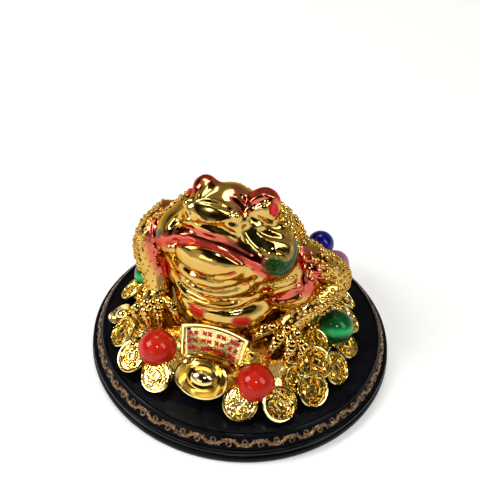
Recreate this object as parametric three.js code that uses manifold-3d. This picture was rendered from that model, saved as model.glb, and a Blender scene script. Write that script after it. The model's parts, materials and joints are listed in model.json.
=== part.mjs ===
// Money toad: a gold-plated casting of a fat toad on a heap of cash coins, with six glass
// balls laid round it, on a round lacquered stand. Millimetres, +Z up, the origin in the
// middle of the stand's underside. The toad looks along -Y.

import * as THREE from 'three';
import { mergeVertices } from 'three/addons/utils/BufferGeometryUtils.js';
import Module from 'manifold-3d';

const wasm = await Module();
wasm.setup();

// Stand: a stepped foot, a sloping band of scrolls, a raised rim and a sunk flat top
const standDiameter = 210;
const footHeight = 5.4;
const footGroove = 1.4;
const stepHeight = 9;
const stepSetback = 0.8;
const bandBottomSetback = 3.5;
const bandBottomHeight = 9.6;
const bandTopSetback = 7.4;
const bandTopHeight = 15.1;
const rimSetback = 8.8;
const rimHeight = 16.7;
const topSetback = 10.4;
const topHeight = 15.6;
const scrollRepeats = 28;
const scrollRelief = 0.7;

// Casting: where it sits on the stand, and the heap of coins
const seatGap = 0.3;
const castingOffsetX = -6;
const heapRadius = 73;
const heapShoulderRadius = 75;
const heapShoulderHeight = 30;
const heapCrownRadius = 62;
const heapCrownHeight = 32.5;
const heapTopHeight = 35;
const heapBulge = 7;
const heapBulgeAt = 48;
const heapDip = 7;
const heapDipAt = -88;
const heapBulgeSpread = 17;

// Cash coins
const coinDiameter = 22;
const coinThickness = 2.4;
const coinHole = 4.6;
const coinRim = 1.9;
const coinRecess = 0.5;
const rimCoinPitch = 16;
const rimCoinStart = 21;
const rimCoinCount = 21;
const rimCoinRadius = 80;
const rimCoinLean = 44;
const upperCoinAngles = [62, 100, 140, 225];
const upperCoinRadius = 70;
const upperCoinLean = 27;

// Toad: its height above the ground sets its form, all else of it is a share of that
const toadHeight = 138;

// Glass balls: size, and place in the casting's own coordinates
const ballGap = 0.3;
const largeBall = 24;
const smallBall = 20.4;
const redLeftAt = [-31, -61, 33];
const redRightAt = [34.5, -62.5, 29];
const greenRightAt = [72, -3, 33];
const greenLeftAt = [-66, 5, 29];
const purpleAt = [60, 49, 43];
const blueAt = [45, 68, 43];
const balls = [
  { name: 'ball_red_left', diameter: largeBall, colour: 0xc8231c, at: redLeftAt },
  { name: 'ball_red_right', diameter: largeBall, colour: 0xc8231c, at: redRightAt },
  { name: 'ball_green_right', diameter: largeBall, colour: 0x0b6b34, at: greenRightAt },
  { name: 'ball_green_left', diameter: largeBall, colour: 0x0b6b34, at: greenLeftAt },
  { name: 'ball_purple', diameter: smallBall, colour: 0xa0607c, at: purpleAt },
  { name: 'ball_blue', diameter: smallBall, colour: 0x15127c, at: blueAt },
];

// Fan-shaped plaque and boat-shaped ingots
const plaqueTopWidth = 44;
const plaqueBottomWidth = 38;
const plaqueHeight = 22;
const plaqueRise = 4;
const plaqueDepth = 9;
const plaqueFrame = 2.6;
const plaqueRecess = 1.2;
const plaqueLean = 31;
const plaqueAt = [2, -51, 35];
const ingotLength = 34;
const ingotWidth = 25;
const ingotDepth = 12;
const ingotAt = [3, -72, 30.5];
const ingotLean = 48;
const smallIngotShare = 0.6;
const smallIngotAngle = -64;

const standRadius = standDiameter / 2;
const castingFloor = topHeight + seatGap;
const degree = Math.PI / 180;

// Materials
const goldPlate = new THREE.MeshStandardMaterial({ color: 0xd9a520, roughness: 0.18, metalness: 1 });
const lacquer = new THREE.MeshStandardMaterial({ color: 0x0c0c0e, roughness: 0.3, metalness: 0 });

function glass(colour) {
  return new THREE.MeshStandardMaterial({ color: colour, roughness: 0.06, metalness: 0 });
}

// Turns a closed geometry into a solid with its faces pointing out
function solidFrom(geometry) {
  const bare = geometry.clone();
  bare.deleteAttribute('normal');
  bare.deleteAttribute('uv');
  const merged = mergeVertices(bare, 1e-4);
  const corners = merged.getAttribute('position');
  const index = merged.getIndex().array;
  const a = new THREE.Vector3();
  const b = new THREE.Vector3();
  const c = new THREE.Vector3();
  const triangles = [];
  let volume = 0;
  for (let i = 0; i < index.length; i += 3) {
    const [p, q, r] = [index[i], index[i + 1], index[i + 2]];
    if (p === q || q === r || r === p) continue;
    a.fromBufferAttribute(corners, p);
    b.fromBufferAttribute(corners, q);
    c.fromBufferAttribute(corners, r);
    volume += a.dot(b.cross(c)) / 6;
    triangles.push(p, q, r);
  }
  if (volume < 0) triangles.reverse();
  return new wasm.Manifold(new wasm.Mesh({
    numProp: 3,
    vertProperties: new Float32Array(corners.array),
    triVerts: new Uint32Array(triangles),
  }));
}

function geometryFrom(solid) {
  const mesh = solid.getMesh();
  const geometry = new THREE.BufferGeometry();
  geometry.setAttribute('position', new THREE.BufferAttribute(mesh.vertProperties, 3));
  geometry.setIndex(new THREE.BufferAttribute(mesh.triVerts, 1));
  geometry.computeVertexNormals();
  return geometry;
}

// Parts that meet can shut a small pocket in between them: only the outermost shell is kept
function withoutPockets(geometry) {
  const index = geometry.getIndex().array;
  const corners = geometry.getAttribute('position');
  const shellOf = Array.from({ length: corners.count }, (_, i) => i);
  const rootOf = (i) => {
    let root = i;
    while (shellOf[root] !== root) root = shellOf[root];
    shellOf[i] = root;
    return root;
  };
  for (let i = 0; i < index.length; i += 3) {
    shellOf[rootOf(index[i + 1])] = rootOf(index[i]);
    shellOf[rootOf(index[i + 2])] = rootOf(index[i]);
  }
  const shells = new Map();
  for (let i = 0; i < index.length; i += 3) {
    const root = rootOf(index[i]);
    if (!shells.has(root)) shells.set(root, []);
    shells.get(root).push(index[i], index[i + 1], index[i + 2]);
  }
  const largest = [...shells.values()].reduce((a, b) => (a.length > b.length ? a : b));
  geometry.setIndex(largest);
  return geometry;
}

function joined(solids) {
  return solids.reduce((sum, solid) => sum.add(solid));
}

// A direction across the heap: 0 degrees to the front, 90 degrees to +X
function outward(angle) {
  return new THREE.Vector3(Math.sin(angle * degree), -Math.cos(angle * degree), 0);
}

// Places a geometry whose own +Z is its face and +Y its top, so that the face leans outward
function leanOutward(geometry, at, angle, lean, spin = 0) {
  const pose = new THREE.Object3D();
  pose.rotation.order = 'ZXY';
  pose.rotation.z = angle * degree;
  pose.rotation.x = lean * degree;
  pose.updateMatrix();
  const matrix = new THREE.Matrix4().makeTranslation(...at).multiply(pose.matrix);
  matrix.multiply(new THREE.Matrix4().makeRotationZ(spin * degree));
  return geometry.clone().applyMatrix4(matrix);
}

// Stand
function makeStand() {
  const bandAt = (share) => new THREE.Vector2(
    standRadius - THREE.MathUtils.lerp(bandBottomSetback, bandTopSetback, share),
    THREE.MathUtils.lerp(bandBottomHeight, bandTopHeight, share),
  );
  const lowScroll = bandAt(0.34);
  const highScroll = bandAt(0.66);
  const profile = [
    new THREE.Vector2(0, 0),
    new THREE.Vector2(standRadius, 0),
    new THREE.Vector2(standRadius, footHeight),
    new THREE.Vector2(standRadius - footGroove, footHeight + footGroove / 2),
    new THREE.Vector2(standRadius - stepSetback, stepHeight),
    bandAt(0),
    lowScroll,
    highScroll,
    bandAt(1),
    new THREE.Vector2(standRadius - rimSetback, rimHeight),
    new THREE.Vector2(standRadius - topSetback, topHeight),
    new THREE.Vector2(0, topHeight),
  ];
  const geometry = new THREE.LatheGeometry(profile, 2 * scrollRepeats);
  // The two inner rows of the band swell in turn, as the scrolls of a running wave do
  const corners = geometry.getAttribute('position');
  for (let i = 0; i < corners.count; i++) {
    const [x, y, z] = [corners.getX(i), corners.getY(i), corners.getZ(i)];
    const isLow = Math.abs(y - lowScroll.y) < 1e-3;
    const isHigh = Math.abs(y - highScroll.y) < 1e-3;
    if (!isLow && !isHigh) continue;
    const wave = Math.cos(scrollRepeats * Math.atan2(x, z)) * (isLow ? 1 : -1);
    const swell = 1 + scrollRelief * wave / standRadius;
    corners.setXYZ(i, x * swell, y, z * swell);
  }
  geometry.rotateX(Math.PI / 2);
  const mesh = new THREE.Mesh(geometryFrom(solidFrom(geometry)), lacquer);
  mesh.name = 'stand';
  return mesh;
}

// How much farther than a plain circle the heap and its coins reach at an angle
function heapSwell(angle) {
  const near = (centre) => {
    const apart = ((angle - centre) % 360 + 540) % 360 - 180;
    return Math.exp(-((apart / heapBulgeSpread) ** 2) / 2);
  };
  return heapBulge * near(heapBulgeAt) - heapDip * near(heapDipAt);
}

// Heap
function makeHeap() {
  const profile = [
    [0, 0], [heapRadius, 0], [heapRadius - 3, (heapShoulderHeight - castingFloor) / 2],
    [heapShoulderRadius, heapShoulderHeight - castingFloor],
    [heapCrownRadius, heapCrownHeight - castingFloor],
    [0, heapTopHeight - castingFloor],
  ].map(([r, z]) => new THREE.Vector2(r, z));
  const geometry = new THREE.LatheGeometry(profile, 24);
  geometry.rotateX(Math.PI / 2);
  geometry.translate(0, 0, castingFloor);
  const corners = geometry.getAttribute('position');
  for (let i = 0; i < corners.count; i++) {
    const [x, y] = [corners.getX(i), corners.getY(i)];
    const radius = Math.hypot(x, y);
    if (radius < heapCrownRadius / 2) continue;
    const swell = 1 + heapSwell(Math.atan2(x, -y) / degree) / radius;
    corners.setXY(i, x * swell, y * swell);
  }
  return solidFrom(geometry);
}

function circle(radius) {
  return new THREE.Shape().absarc(0, 0, radius, 0, 2 * Math.PI);
}

function square(side) {
  const h = side / 2;
  return new THREE.Path([[-h, -h], [-h, h], [h, h], [h, -h]].map(([x, y]) => new THREE.Vector2(x, y)));
}

// A cash coin facing +Z. In view it has its square hole, and a field sunk inside a raised rim
function makeCoin(diameter, hasFace) {
  const sides = { curveSegments: hasFace ? 5 : 4, bevelEnabled: false };
  const disc = circle(diameter / 2);
  if (hasFace) disc.holes.push(square(coinHole));
  const blank = new THREE.ExtrudeGeometry(disc, { ...sides, depth: coinThickness });
  blank.translate(0, 0, -coinThickness / 2);
  if (!hasFace) return blank;
  const field = circle(diameter / 2 - coinRim);
  field.holes.push(square(coinHole + coinRim));
  const cut = new THREE.ExtrudeGeometry(field, { ...sides, depth: coinThickness });
  cut.translate(0, 0, coinThickness / 2 - coinRecess);
  return geometryFrom(solidFrom(blank).subtract(solidFrom(cut)));
}

function coinAt(angle, radius, height, lean, spin, hasFace) {
  const at = outward(angle).multiplyScalar(radius);
  at.z = height;
  return solidFrom(leanOutward(makeCoin(coinDiameter, hasFace), at.toArray(), angle, lean, spin));
}

// Coins all round the foot of the heap, except where the ingots lie, and a looser row above
function makeCoins() {
  const coins = [];
  const lift = Math.sin(rimCoinLean * degree) * coinDiameter / 2 + rimHeight + seatGap;
  for (let i = 0; i < rimCoinCount; i++) {
    const angle = rimCoinStart + i * rimCoinPitch;
    const isBesideIngot = Math.abs(angle - 360 - smallIngotAngle) < rimCoinPitch / 2;
    const reach = rimCoinRadius + heapSwell(angle) + Math.sin(2.4 * i);
    const lean = rimCoinLean + 5 * Math.sin(1.7 * i);
    const isInView = angle < 80 || angle > 290;
    if (!isBesideIngot) coins.push(coinAt(angle, reach, lift, lean, 31 * i, isInView));
  }
  for (const angle of upperCoinAngles) {
    const reach = upperCoinRadius + heapSwell(angle);
    const height = heapShoulderHeight + coinThickness / 2 + Math.sin(angle);
    coins.push(coinAt(angle, reach, height, upperCoinLean, 2 * angle, Math.abs(angle) < 70));
  }
  return coins;
}

// A boat-shaped ingot facing +Z: a dish with upturned ends round a dome
function makeIngot(share, sides) {
  const half = ingotLength / 2;
  const profile = [
    [0, -ingotDepth], [0.55 * half, -ingotDepth], [half, -0.18 * ingotDepth], [0.97 * half, 0],
    [0.84 * half, -0.04 * ingotDepth], [0.58 * half, -0.26 * ingotDepth],
    [0.42 * half, 0.1 * ingotDepth], [0, 0.34 * ingotDepth],
  ].map(([r, z]) => new THREE.Vector2(r * share, z * share));
  const geometry = new THREE.LatheGeometry(profile, sides);
  geometry.rotateX(Math.PI / 2);
  geometry.scale(1, ingotWidth / ingotLength, 1);
  const corners = geometry.getAttribute('position');
  for (let i = 0; i < corners.count; i++) {
    const out = corners.getX(i) / (half * share);
    const isRim = Math.abs(out) > 0.6;
    if (isRim) corners.setZ(i, corners.getZ(i) + 0.22 * ingotDepth * share * (Math.abs(out) - 0.6) / 0.4);
  }
  return geometry;
}

function makeIngots() {
  const small = outward(smallIngotAngle).multiplyScalar(rimCoinRadius - 1);
  small.z = rimHeight + seatGap + 7;
  return [
    solidFrom(leanOutward(makeIngot(1, 12), ingotAt, 2, ingotLean)),
    solidFrom(leanOutward(makeIngot(smallIngotShare, 8), small.toArray(), smallIngotAngle, 40, 70)),
  ];
}

// Plaque
function fanShape(inset) {
  const top = plaqueTopWidth / 2 - inset;
  const bottom = plaqueBottomWidth / 2 - inset;
  const half = plaqueHeight / 2 - inset;
  const shape = new THREE.Shape();
  shape.moveTo(-bottom, -half);
  shape.quadraticCurveTo(0, -half + 2 * plaqueRise, bottom, -half);
  shape.lineTo(top, half);
  shape.quadraticCurveTo(0, half + 2 * plaqueRise, -top, half);
  return shape;
}

// Four groups of plain crossed strokes that stand for an inscription
function makeStrokes(floor) {
  const strokes = [];
  const reach = plaqueTopWidth / 2 - 2 * plaqueFrame;
  for (let group = 0; group < 4; group++) {
    const x = THREE.MathUtils.lerp(-reach, reach, (group + 0.5) / 4);
    const rise = plaqueRise * (1 - (2 * x / plaqueTopWidth) ** 2);
    const turn = -x / plaqueTopWidth * 0.5;
    const rows = [[5.6, 1.2, 0, 2 - group % 2], [1.3, 8.6, 0.6 * (group - 1.5), 0]];
    for (const [width, height, dx, dy] of rows) {
      const bar = new THREE.BoxGeometry(width, height, 2);
      bar.translate(dx, dy, 0);
      bar.rotateZ(turn);
      bar.translate(x, rise - 0.4, floor);
      strokes.push(solidFrom(bar));
    }
  }
  return strokes;
}

function makePlaque() {
  const whole = { depth: plaqueDepth, bevelEnabled: false, curveSegments: 4 };
  const board = new THREE.ExtrudeGeometry(fanShape(0), whole);
  const field = new THREE.ExtrudeGeometry(fanShape(plaqueFrame), whole);
  field.translate(0, 0, plaqueDepth - plaqueRecess);
  const panel = joined([solidFrom(board).subtract(solidFrom(field)), ...makeStrokes(plaqueDepth - 1.6)]);
  const geometry = geometryFrom(panel).translate(0, 0, -plaqueDepth + 1);
  return solidFrom(leanOutward(geometry, plaqueAt, 2, 90 - plaqueLean));
}

// The toad's flesh is one skin drawn smoothly over rounded masses, all in shares of its height
const h = toadHeight;
const masses = [
  { name: 'torso', at: [0, 0.1, 0.42], size: [0.335, 0.36, 0.32] },
  { name: 'belly', at: [0.03, -0.075, 0.385], size: [0.275, 0.225, 0.2] },
  { name: 'rump', at: [0, 0.36, 0.33], size: [0.22, 0.17, 0.19] },
  { name: 'head', at: [-0.01, -0.085, 0.755], size: [0.29, 0.2, 0.15] },
  { name: 'left cheek', at: [-0.185, -0.145, 0.71], size: [0.15, 0.16, 0.12] },
  { name: 'right cheek', at: [0.165, -0.145, 0.71], size: [0.15, 0.16, 0.12] },
  { name: 'muzzle', at: [-0.035, -0.17, 0.86], size: [0.16, 0.125, 0.1] },
  { name: 'forehead', at: [-0.01, -0.11, 0.885], size: [0.11, 0.11, 0.09] },
  { name: 'chin', at: [-0.03, -0.2, 0.715], size: [0.165, 0.13, 0.085] },
  { name: 'throat', at: [0.01, -0.12, 0.56], size: [0.25, 0.17, 0.16] },
  { name: 'left shoulder', at: [-0.33, -0.02, 0.59], size: [0.12, 0.13, 0.13] },
  { name: 'right shoulder', at: [0.31, 0.05, 0.51], size: [0.13, 0.14, 0.12] },
];
const fleshHeart = [0, 0.03, 0.55];
const fleshBlend = 0.045;

function fleshDistance(point) {
  let distance = 1;
  for (const { at, size } of masses) {
    const p = point.map((value, i) => (value - at[i]) / size[i]);
    const q = p.map((value, i) => value / size[i]);
    const near = Math.hypot(...p);
    const own = near * (near - 1) / Math.hypot(...q, 1e-6);
    const mix = THREE.MathUtils.clamp(0.5 + 0.5 * (distance - own) / fleshBlend, 0, 1);
    distance = THREE.MathUtils.lerp(distance, own, mix) - fleshBlend * mix * (1 - mix);
  }
  return distance;
}

// The skin's point, in millimetres, in one direction from the toad's heart
function skinPoint(direction) {
  const at = (reach) => fleshHeart.map((value, i) => value + direction.getComponent(i) * reach);
  let outer = 0.8;
  while (fleshDistance(at(outer)) > 0) outer -= 0.02;
  let step = 0.02;
  for (let i = 0; i < 10; i++) {
    step /= 2;
    outer += fleshDistance(at(outer)) > 0 ? -step : step;
  }
  return new THREE.Vector3(...at(outer)).multiplyScalar(h);
}

function makeFlesh() {
  const geometry = new THREE.SphereGeometry(1, 26, 18);
  geometry.rotateX(Math.PI / 2);
  const corners = geometry.getAttribute('position');
  const direction = new THREE.Vector3();
  for (let i = 0; i < corners.count; i++) {
    const skin = skinPoint(direction.fromBufferAttribute(corners, i).normalize());
    corners.setXYZ(i, ...skin);
  }
  return solidFrom(geometry);
}

// A rounded lump, with its place and half sizes in shares of the height
function lump(at, size, around = 10, rings = 7) {
  const geometry = new THREE.SphereGeometry(h, around, rings);
  geometry.rotateX(Math.PI / 2);
  geometry.scale(...size);
  geometry.translate(...at.map((value) => value * h));
  return solidFrom(geometry);
}

// A limb, lip or fold: a tube along a curve whose thickness changes on the way
function limb(points, radii, sides, steps) {
  const path = new THREE.CatmullRomCurve3(points.map((point) => new THREE.Vector3(...point)));
  const frames = path.computeFrenetFrames(steps);
  const geometry = new THREE.CylinderGeometry(1, 1, 1, sides, steps);
  const corners = geometry.getAttribute('position');
  for (let i = 0; i < corners.count; i++) {
    const step = Math.round((corners.getY(i) + 0.5) * steps);
    const share = step / steps * (radii.length - 1);
    const from = Math.min(Math.floor(share), radii.length - 2);
    const radius = THREE.MathUtils.lerp(radii[from], radii[from + 1], share - from);
    const corner = path.getPointAt(step / steps);
    corner.addScaledVector(frames.normals[step], corners.getX(i) * radius);
    corner.addScaledVector(frames.binormals[step], -corners.getZ(i) * radius);
    corners.setXYZ(i, corner.x * h, corner.y * h, corner.z * h);
  }
  return solidFrom(geometry);
}

function mirrored(points, side) {
  return points.map(([x, y, z]) => [side * x, y, z]);
}

// Both sides of the face: brow, eye, nostril and the folds that run from it down the cheek.
// The snout is turned a little to one side
const snoutTurn = -0.04;

function makeFaceSide(side) {
  const [eyelid, eye] = mirrored([[0.136, -0.11, 0.918], [0.186, -0.15, 0.935]], side);
  const nostril = [snoutTurn + side * 0.103, -0.25, 0.942];
  const cheekFold = [
    nostril, [side * 0.16 + snoutTurn / 2, -0.262, 0.87], [side * 0.25, -0.24, 0.79],
    [side * 0.295, -0.21, 0.7],
  ];
  const eyeFold = mirrored(
    [[0.15, -0.2, 0.88], [0.225, -0.2, 0.83], [0.29, -0.17, 0.77], [0.315, -0.14, 0.71]], side,
  );
  return [
    lump(eyelid, [0.074, 0.08, 0.078], 10, 8),
    lump(eye, [0.03, 0.034, 0.036], 6, 5),
    lump(nostril, [0.022, 0.022, 0.022], 6, 4),
    limb(cheekFold, [0.012, 0.026, 0.026, 0.01], 4, 4),
    limb(eyeFold, [0.012, 0.024, 0.026, 0.01], 4, 4),
  ];
}

// The mouth arches highest under the snout. Below it folds hang from one mouth corner to
// the other, each lower than the last
function makeMouthAndThroat() {
  const upperLip = [
    [-0.315, -0.215, 0.71], [-0.19, -0.285, 0.805], [-0.08, -0.32, 0.862],
    [0.06, -0.315, 0.832], [0.19, -0.275, 0.745], [0.275, -0.22, 0.71],
  ];
  const parts = [
    limb(upperLip, [0.012, 0.026, 0.032, 0.032, 0.026, 0.012], 5, 9),
    lump([snoutTurn, -0.245, 0.925], [0.092, 0.05, 0.056], 10, 6),
  ];
  for (let i = 0; i < 3; i++) {
    const corner = 0.66 - 0.055 * i;
    const middle = snoutTurn + 0.035 * (i + 1);
    const bottom = 0.585 - 0.068 * i;
    const half = 0.25 + 0.015 * i;
    const fold = [
      [middle - half, -0.19, corner], [middle - 0.68 * half, -0.265, (corner + bottom) / 2 - 0.01],
      [middle, -0.298, bottom], [middle + 0.68 * half, -0.265, (corner + bottom) / 2 - 0.01],
      [middle + half, -0.19, corner],
    ];
    parts.push(limb(fold, [0.014, 0.03, 0.034, 0.03, 0.014], 4, 8));
  }
  return parts;
}

// A toe: a chain of knuckles that ends in a claw
function toe(root, knuckle, tip) {
  const joint = tip.map((value, i) => value * 0.6 + knuckle[i] * 0.4 + (i === 2 ? 0.02 : 0));
  return limb([root, knuckle, joint, tip], [0.034, 0.038, 0.026, 0.034, 0.024, 0.004], 4, 5);
}

// Front feet: where the wrist is, and the knuckle and tip of each toe
function makeFoot(wrist, toes) {
  const palm = lump(wrist, [0.075, 0.07, 0.05], 8, 6);
  const rootOf = (knuckle) => wrist.map((value, i) => (value + knuckle[i]) / 2);
  return [palm, ...toes.map(([knuckle, tip]) => toe(rootOf(knuckle), knuckle, tip))];
}

const leftArm = [
  [-0.33, -0.01, 0.61], [-0.38, -0.06, 0.56], [-0.395, -0.13, 0.465], [-0.35, -0.19, 0.36],
  [-0.31, -0.22, 0.3],
];
const rightArm = [
  [0.3, 0.05, 0.54], [0.41, 0.08, 0.49], [0.475, 0.05, 0.43], [0.4, -0.08, 0.385],
  [0.29, -0.17, 0.33],
];
const armThickness = [0.1, 0.095, 0.088, 0.07, 0.058];

function makeLimbs() {
  const leftToes = [
    [[-0.4, -0.16, 0.28], [-0.42, -0.21, 0.215]], [[-0.35, -0.235, 0.29], [-0.335, -0.29, 0.22]],
    [[-0.3, -0.26, 0.28], [-0.26, -0.33, 0.225]], [[-0.26, -0.2, 0.28], [-0.21, -0.25, 0.24]],
  ];
  const rightToes = [
    [[0.235, -0.19, 0.29], [0.215, -0.24, 0.245]], [[0.3, -0.25, 0.29], [0.272, -0.32, 0.23]],
    [[0.35, -0.25, 0.29], [0.345, -0.315, 0.225]], [[0.4, -0.22, 0.28], [0.405, -0.29, 0.222]],
  ];
  const hindToes = [-0.13, 0, 0.13].map((x) => [[0.8 * x, 0.52, 0.25], [x, 0.585, 0.215]]);
  return [
    limb(leftArm, armThickness, 8, 6),
    limb(rightArm, armThickness, 8, 6),
    ...makeFoot([-0.315, -0.2, 0.285], leftToes),
    ...makeFoot([0.305, -0.17, 0.3], rightToes),
    ...makeFoot([0, 0.46, 0.27], hindToes),
  ];
}

// Warts: beads along the outside of the arms, and in rows over the back
function wart(at, size) {
  const geometry = new THREE.OctahedronGeometry(size * h, 0);
  geometry.translate(at.x, at.y, at.z);
  return solidFrom(geometry);
}

function makeArmWarts(points, thickness) {
  const warts = [];
  const path = new THREE.CatmullRomCurve3(points.map((point) => new THREE.Vector3(...point)));
  for (let i = 0; i < 4; i++) {
    const share = 0.1 + 0.2 * i;
    const radius = THREE.MathUtils.lerp(thickness[0], thickness[4], share);
    for (const lift of [-0.25, 0.75]) {
      const out = new THREE.Vector3(Math.sign(points[0][0]), 0.35, lift).normalize();
      const at = path.getPointAt(share).addScaledVector(out, radius).multiplyScalar(h);
      warts.push(wart(at, 0.021));
    }
  }
  return warts;
}

function makeBackWarts() {
  const warts = [];
  for (const rise of [62, 42, 22]) {
    const count = rise > 50 ? 4 : 6;
    for (let i = 0; i < count; i++) {
      const around = THREE.MathUtils.lerp(-78, 78, i / (count - 1)) * degree;
      const level = Math.cos(rise * degree);
      const direction = new THREE.Vector3(
        level * Math.sin(around), level * Math.cos(around), Math.sin(rise * degree),
      );
      warts.push(wart(skinPoint(direction), 0.024));
    }
  }
  return warts;
}

// A little mound of the heap under each ball, with the ball's own hollow cut into it later
function makeNests() {
  return balls.map(({ diameter, at: [x, y, z] }) => {
    const top = z - diameter * 0.16;
    const nest = new THREE.CylinderGeometry(diameter * 0.46, diameter * 0.56, top - castingFloor, 8);
    nest.rotateX(Math.PI / 2);
    nest.translate(x, y, (top + castingFloor) / 2);
    return solidFrom(nest);
  });
}

function makeCasting() {
  let casting = joined([
    makeHeap(), ...makeNests(), ...makeCoins(), ...makeIngots(), makePlaque(), makeFlesh(),
    ...makeFaceSide(-1), ...makeFaceSide(1), ...makeMouthAndThroat(), ...makeLimbs(),
    ...makeArmWarts(leftArm, armThickness), ...makeArmWarts(rightArm, armThickness), ...makeBackWarts(),
  ]);
  for (const { diameter, at } of balls) {
    const hollow = new THREE.SphereGeometry(diameter / 2 + ballGap, 12, 7);
    hollow.rotateX(Math.PI / 2);
    hollow.translate(...at);
    casting = casting.subtract(solidFrom(hollow));
  }
  const below = new THREE.BoxGeometry(standDiameter, standDiameter, 2 * castingFloor);
  casting = casting.subtract(solidFrom(below));
  const mesh = new THREE.Mesh(withoutPockets(geometryFrom(casting)), goldPlate);
  mesh.name = 'toad_on_coins';
  return mesh;
}

function makeBall({ name, diameter, colour, at }) {
  const geometry = new THREE.SphereGeometry(diameter / 2, 12, 7);
  geometry.rotateX(Math.PI / 2);
  const mesh = new THREE.Mesh(geometry, glass(colour));
  mesh.name = name;
  mesh.position.set(...at);
  return mesh;
}

const toad = new THREE.Group();
toad.position.x = castingOffsetX;
toad.add(makeCasting(), ...balls.map(makeBall));

const ornament = new THREE.Group();
ornament.add(makeStand(), toad);

export default ornament;
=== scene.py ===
# %% [markdown]
# This lesson dresses a money toad: a gold-plated resin casting of a fat toad that sits on a heap
# of cash coins, with six glass balls lying round it, on a round lacquered stand. The solids of the
# model could be shown as they are, but they are plain. So they are loaded first and stay as they
# are, and everything after that is a finer skin for them.

# %% Load the solids
import functools
import json
import math
import random

import bmesh
import bpy
import numpy as np
from mathutils import Matrix, Vector
from mathutils.bvhtree import BVHTree

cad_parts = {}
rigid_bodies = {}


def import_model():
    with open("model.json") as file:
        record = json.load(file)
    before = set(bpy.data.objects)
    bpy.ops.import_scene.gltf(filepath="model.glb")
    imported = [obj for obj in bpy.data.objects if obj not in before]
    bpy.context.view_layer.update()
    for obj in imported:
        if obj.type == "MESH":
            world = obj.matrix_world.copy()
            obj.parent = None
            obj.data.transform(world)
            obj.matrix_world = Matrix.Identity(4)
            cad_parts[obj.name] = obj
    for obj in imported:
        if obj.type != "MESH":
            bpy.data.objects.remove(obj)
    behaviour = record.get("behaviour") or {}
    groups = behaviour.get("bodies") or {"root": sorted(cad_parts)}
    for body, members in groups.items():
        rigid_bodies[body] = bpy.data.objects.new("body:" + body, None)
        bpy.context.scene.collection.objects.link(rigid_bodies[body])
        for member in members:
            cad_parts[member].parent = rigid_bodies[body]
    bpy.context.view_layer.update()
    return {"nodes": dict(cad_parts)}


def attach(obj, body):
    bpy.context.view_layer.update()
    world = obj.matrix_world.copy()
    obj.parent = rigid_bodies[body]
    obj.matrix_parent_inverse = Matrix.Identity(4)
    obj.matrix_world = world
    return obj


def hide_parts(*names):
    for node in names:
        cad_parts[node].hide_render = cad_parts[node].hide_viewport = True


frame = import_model()
print("solids:", sorted(frame["nodes"]))

# %% [markdown]
# Such a figure is measured in millimetres, and Blender's own unit is the metre. Scaling the
# objects would do, but it would scale the patterns of their materials too. So all sizes below are
# in millimetres, and they are turned to metres once, in the mesh, when a piece is finished. The
# casting has its own middle, a little to one side of the middle of the stand.

# %% Units and the middle of the casting
MM = 0.001
CASTING_SHIFT = Vector((-6, 0, 0))
TOAD = 138  # the toad's height: places and sizes of its own forms are shares of it
STAND_TOP = 15.6
print("the casting's middle is at", CASTING_SHIFT[:], "mm")

# %% [markdown]
# The camera looks down on the toad from the front and a little from its left side, and is tipped
# by a few degrees. It could be aimed with a constraint, but its axes are needed as numbers: the
# face is later drawn on the skin along the camera's own lines of sight. So the three axes are
# worked out from its angles. A lens of 45 mm on a 36 mm sensor gives the picture's perspective.

# %% Camera
CAMERA_AT = Vector((78.4, -290.0, 324.4))
CAMERA_TURN, CAMERA_RISE, CAMERA_ROLL = (math.radians(a) for a in (16, 38.51, 3.51))
LENS, SENSOR, PICTURE = 45, 36, 480

look = Vector((
    -math.sin(CAMERA_TURN) * math.cos(CAMERA_RISE),
    math.cos(CAMERA_TURN) * math.cos(CAMERA_RISE),
    -math.sin(CAMERA_RISE),
))
level = Vector((math.cos(CAMERA_TURN), math.sin(CAMERA_TURN), 0))
right = (level * math.cos(CAMERA_ROLL) + level.cross(look) * math.sin(CAMERA_ROLL)).normalized()
up = right.cross(look)

scene = bpy.context.scene


def in_scene(name, data):
    """A new object in the scene, which shows a mesh, a curve, a lamp or a camera."""
    thing = bpy.data.objects.new(name, data)
    scene.collection.objects.link(thing)
    return thing


camera_data = bpy.data.cameras.new("camera")
camera_data.lens = LENS
camera_data.sensor_width = SENSOR
camera_data.clip_start, camera_data.clip_end = 0.01, 20
camera = in_scene("camera", camera_data)
axes = Matrix((right, up, -look)).transposed().to_4x4()
camera.matrix_world = Matrix.Translation(CAMERA_AT * MM) @ axes
scene.camera = camera
print("camera looks along", [round(v, 3) for v in look])

# %% [markdown]
# A material is a tree of nodes, and each node could be added and linked by hand in five or six
# lines. One small function does it instead. It is told the kind of node, what goes in, and the
# settings, and it gives back what comes out. What goes in may be a number, a colour as a hex
# text, or what came out of another node, so the trees below read like sums.

# %% Colours and nodes


def srgb(code):
    """Turns a colour such as 'C8231C' into the linear numbers that a shader wants."""
    parts = [int(code[i:i + 2], 16) / 255 for i in (0, 2, 4)]
    linear = [c / 12.92 if c <= 0.04045 else ((c + 0.055) / 1.055) ** 2.4 for c in parts]
    return (*linear, 1)


def add_node(tree, kind, inputs=(), out=None, stops=(), **settings):
    """Adds a node with its settings, values, links and colour stops, and returns its output."""
    node = tree.nodes.new("ShaderNode" + kind)
    for key, value in settings.items():
        setattr(node, key, value)
    for key, value in inputs.items() if isinstance(inputs, dict) else enumerate(inputs):
        entry = next(s for i, s in enumerate(node.inputs) if key == i or key == s.name and s.enabled)
        if isinstance(value, bpy.types.NodeSocket):
            tree.links.new(value, entry)
        else:
            entry.default_value = srgb(value) if isinstance(value, str) else value
    for i, (position, code) in enumerate(stops):
        stop = node.color_ramp.elements[i] if i < 2 else node.color_ramp.elements.new(position)
        stop.position, stop.color = position, srgb(code)
    return node.outputs[out] if out else next((s for s in node.outputs if s.enabled), None)


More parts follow.
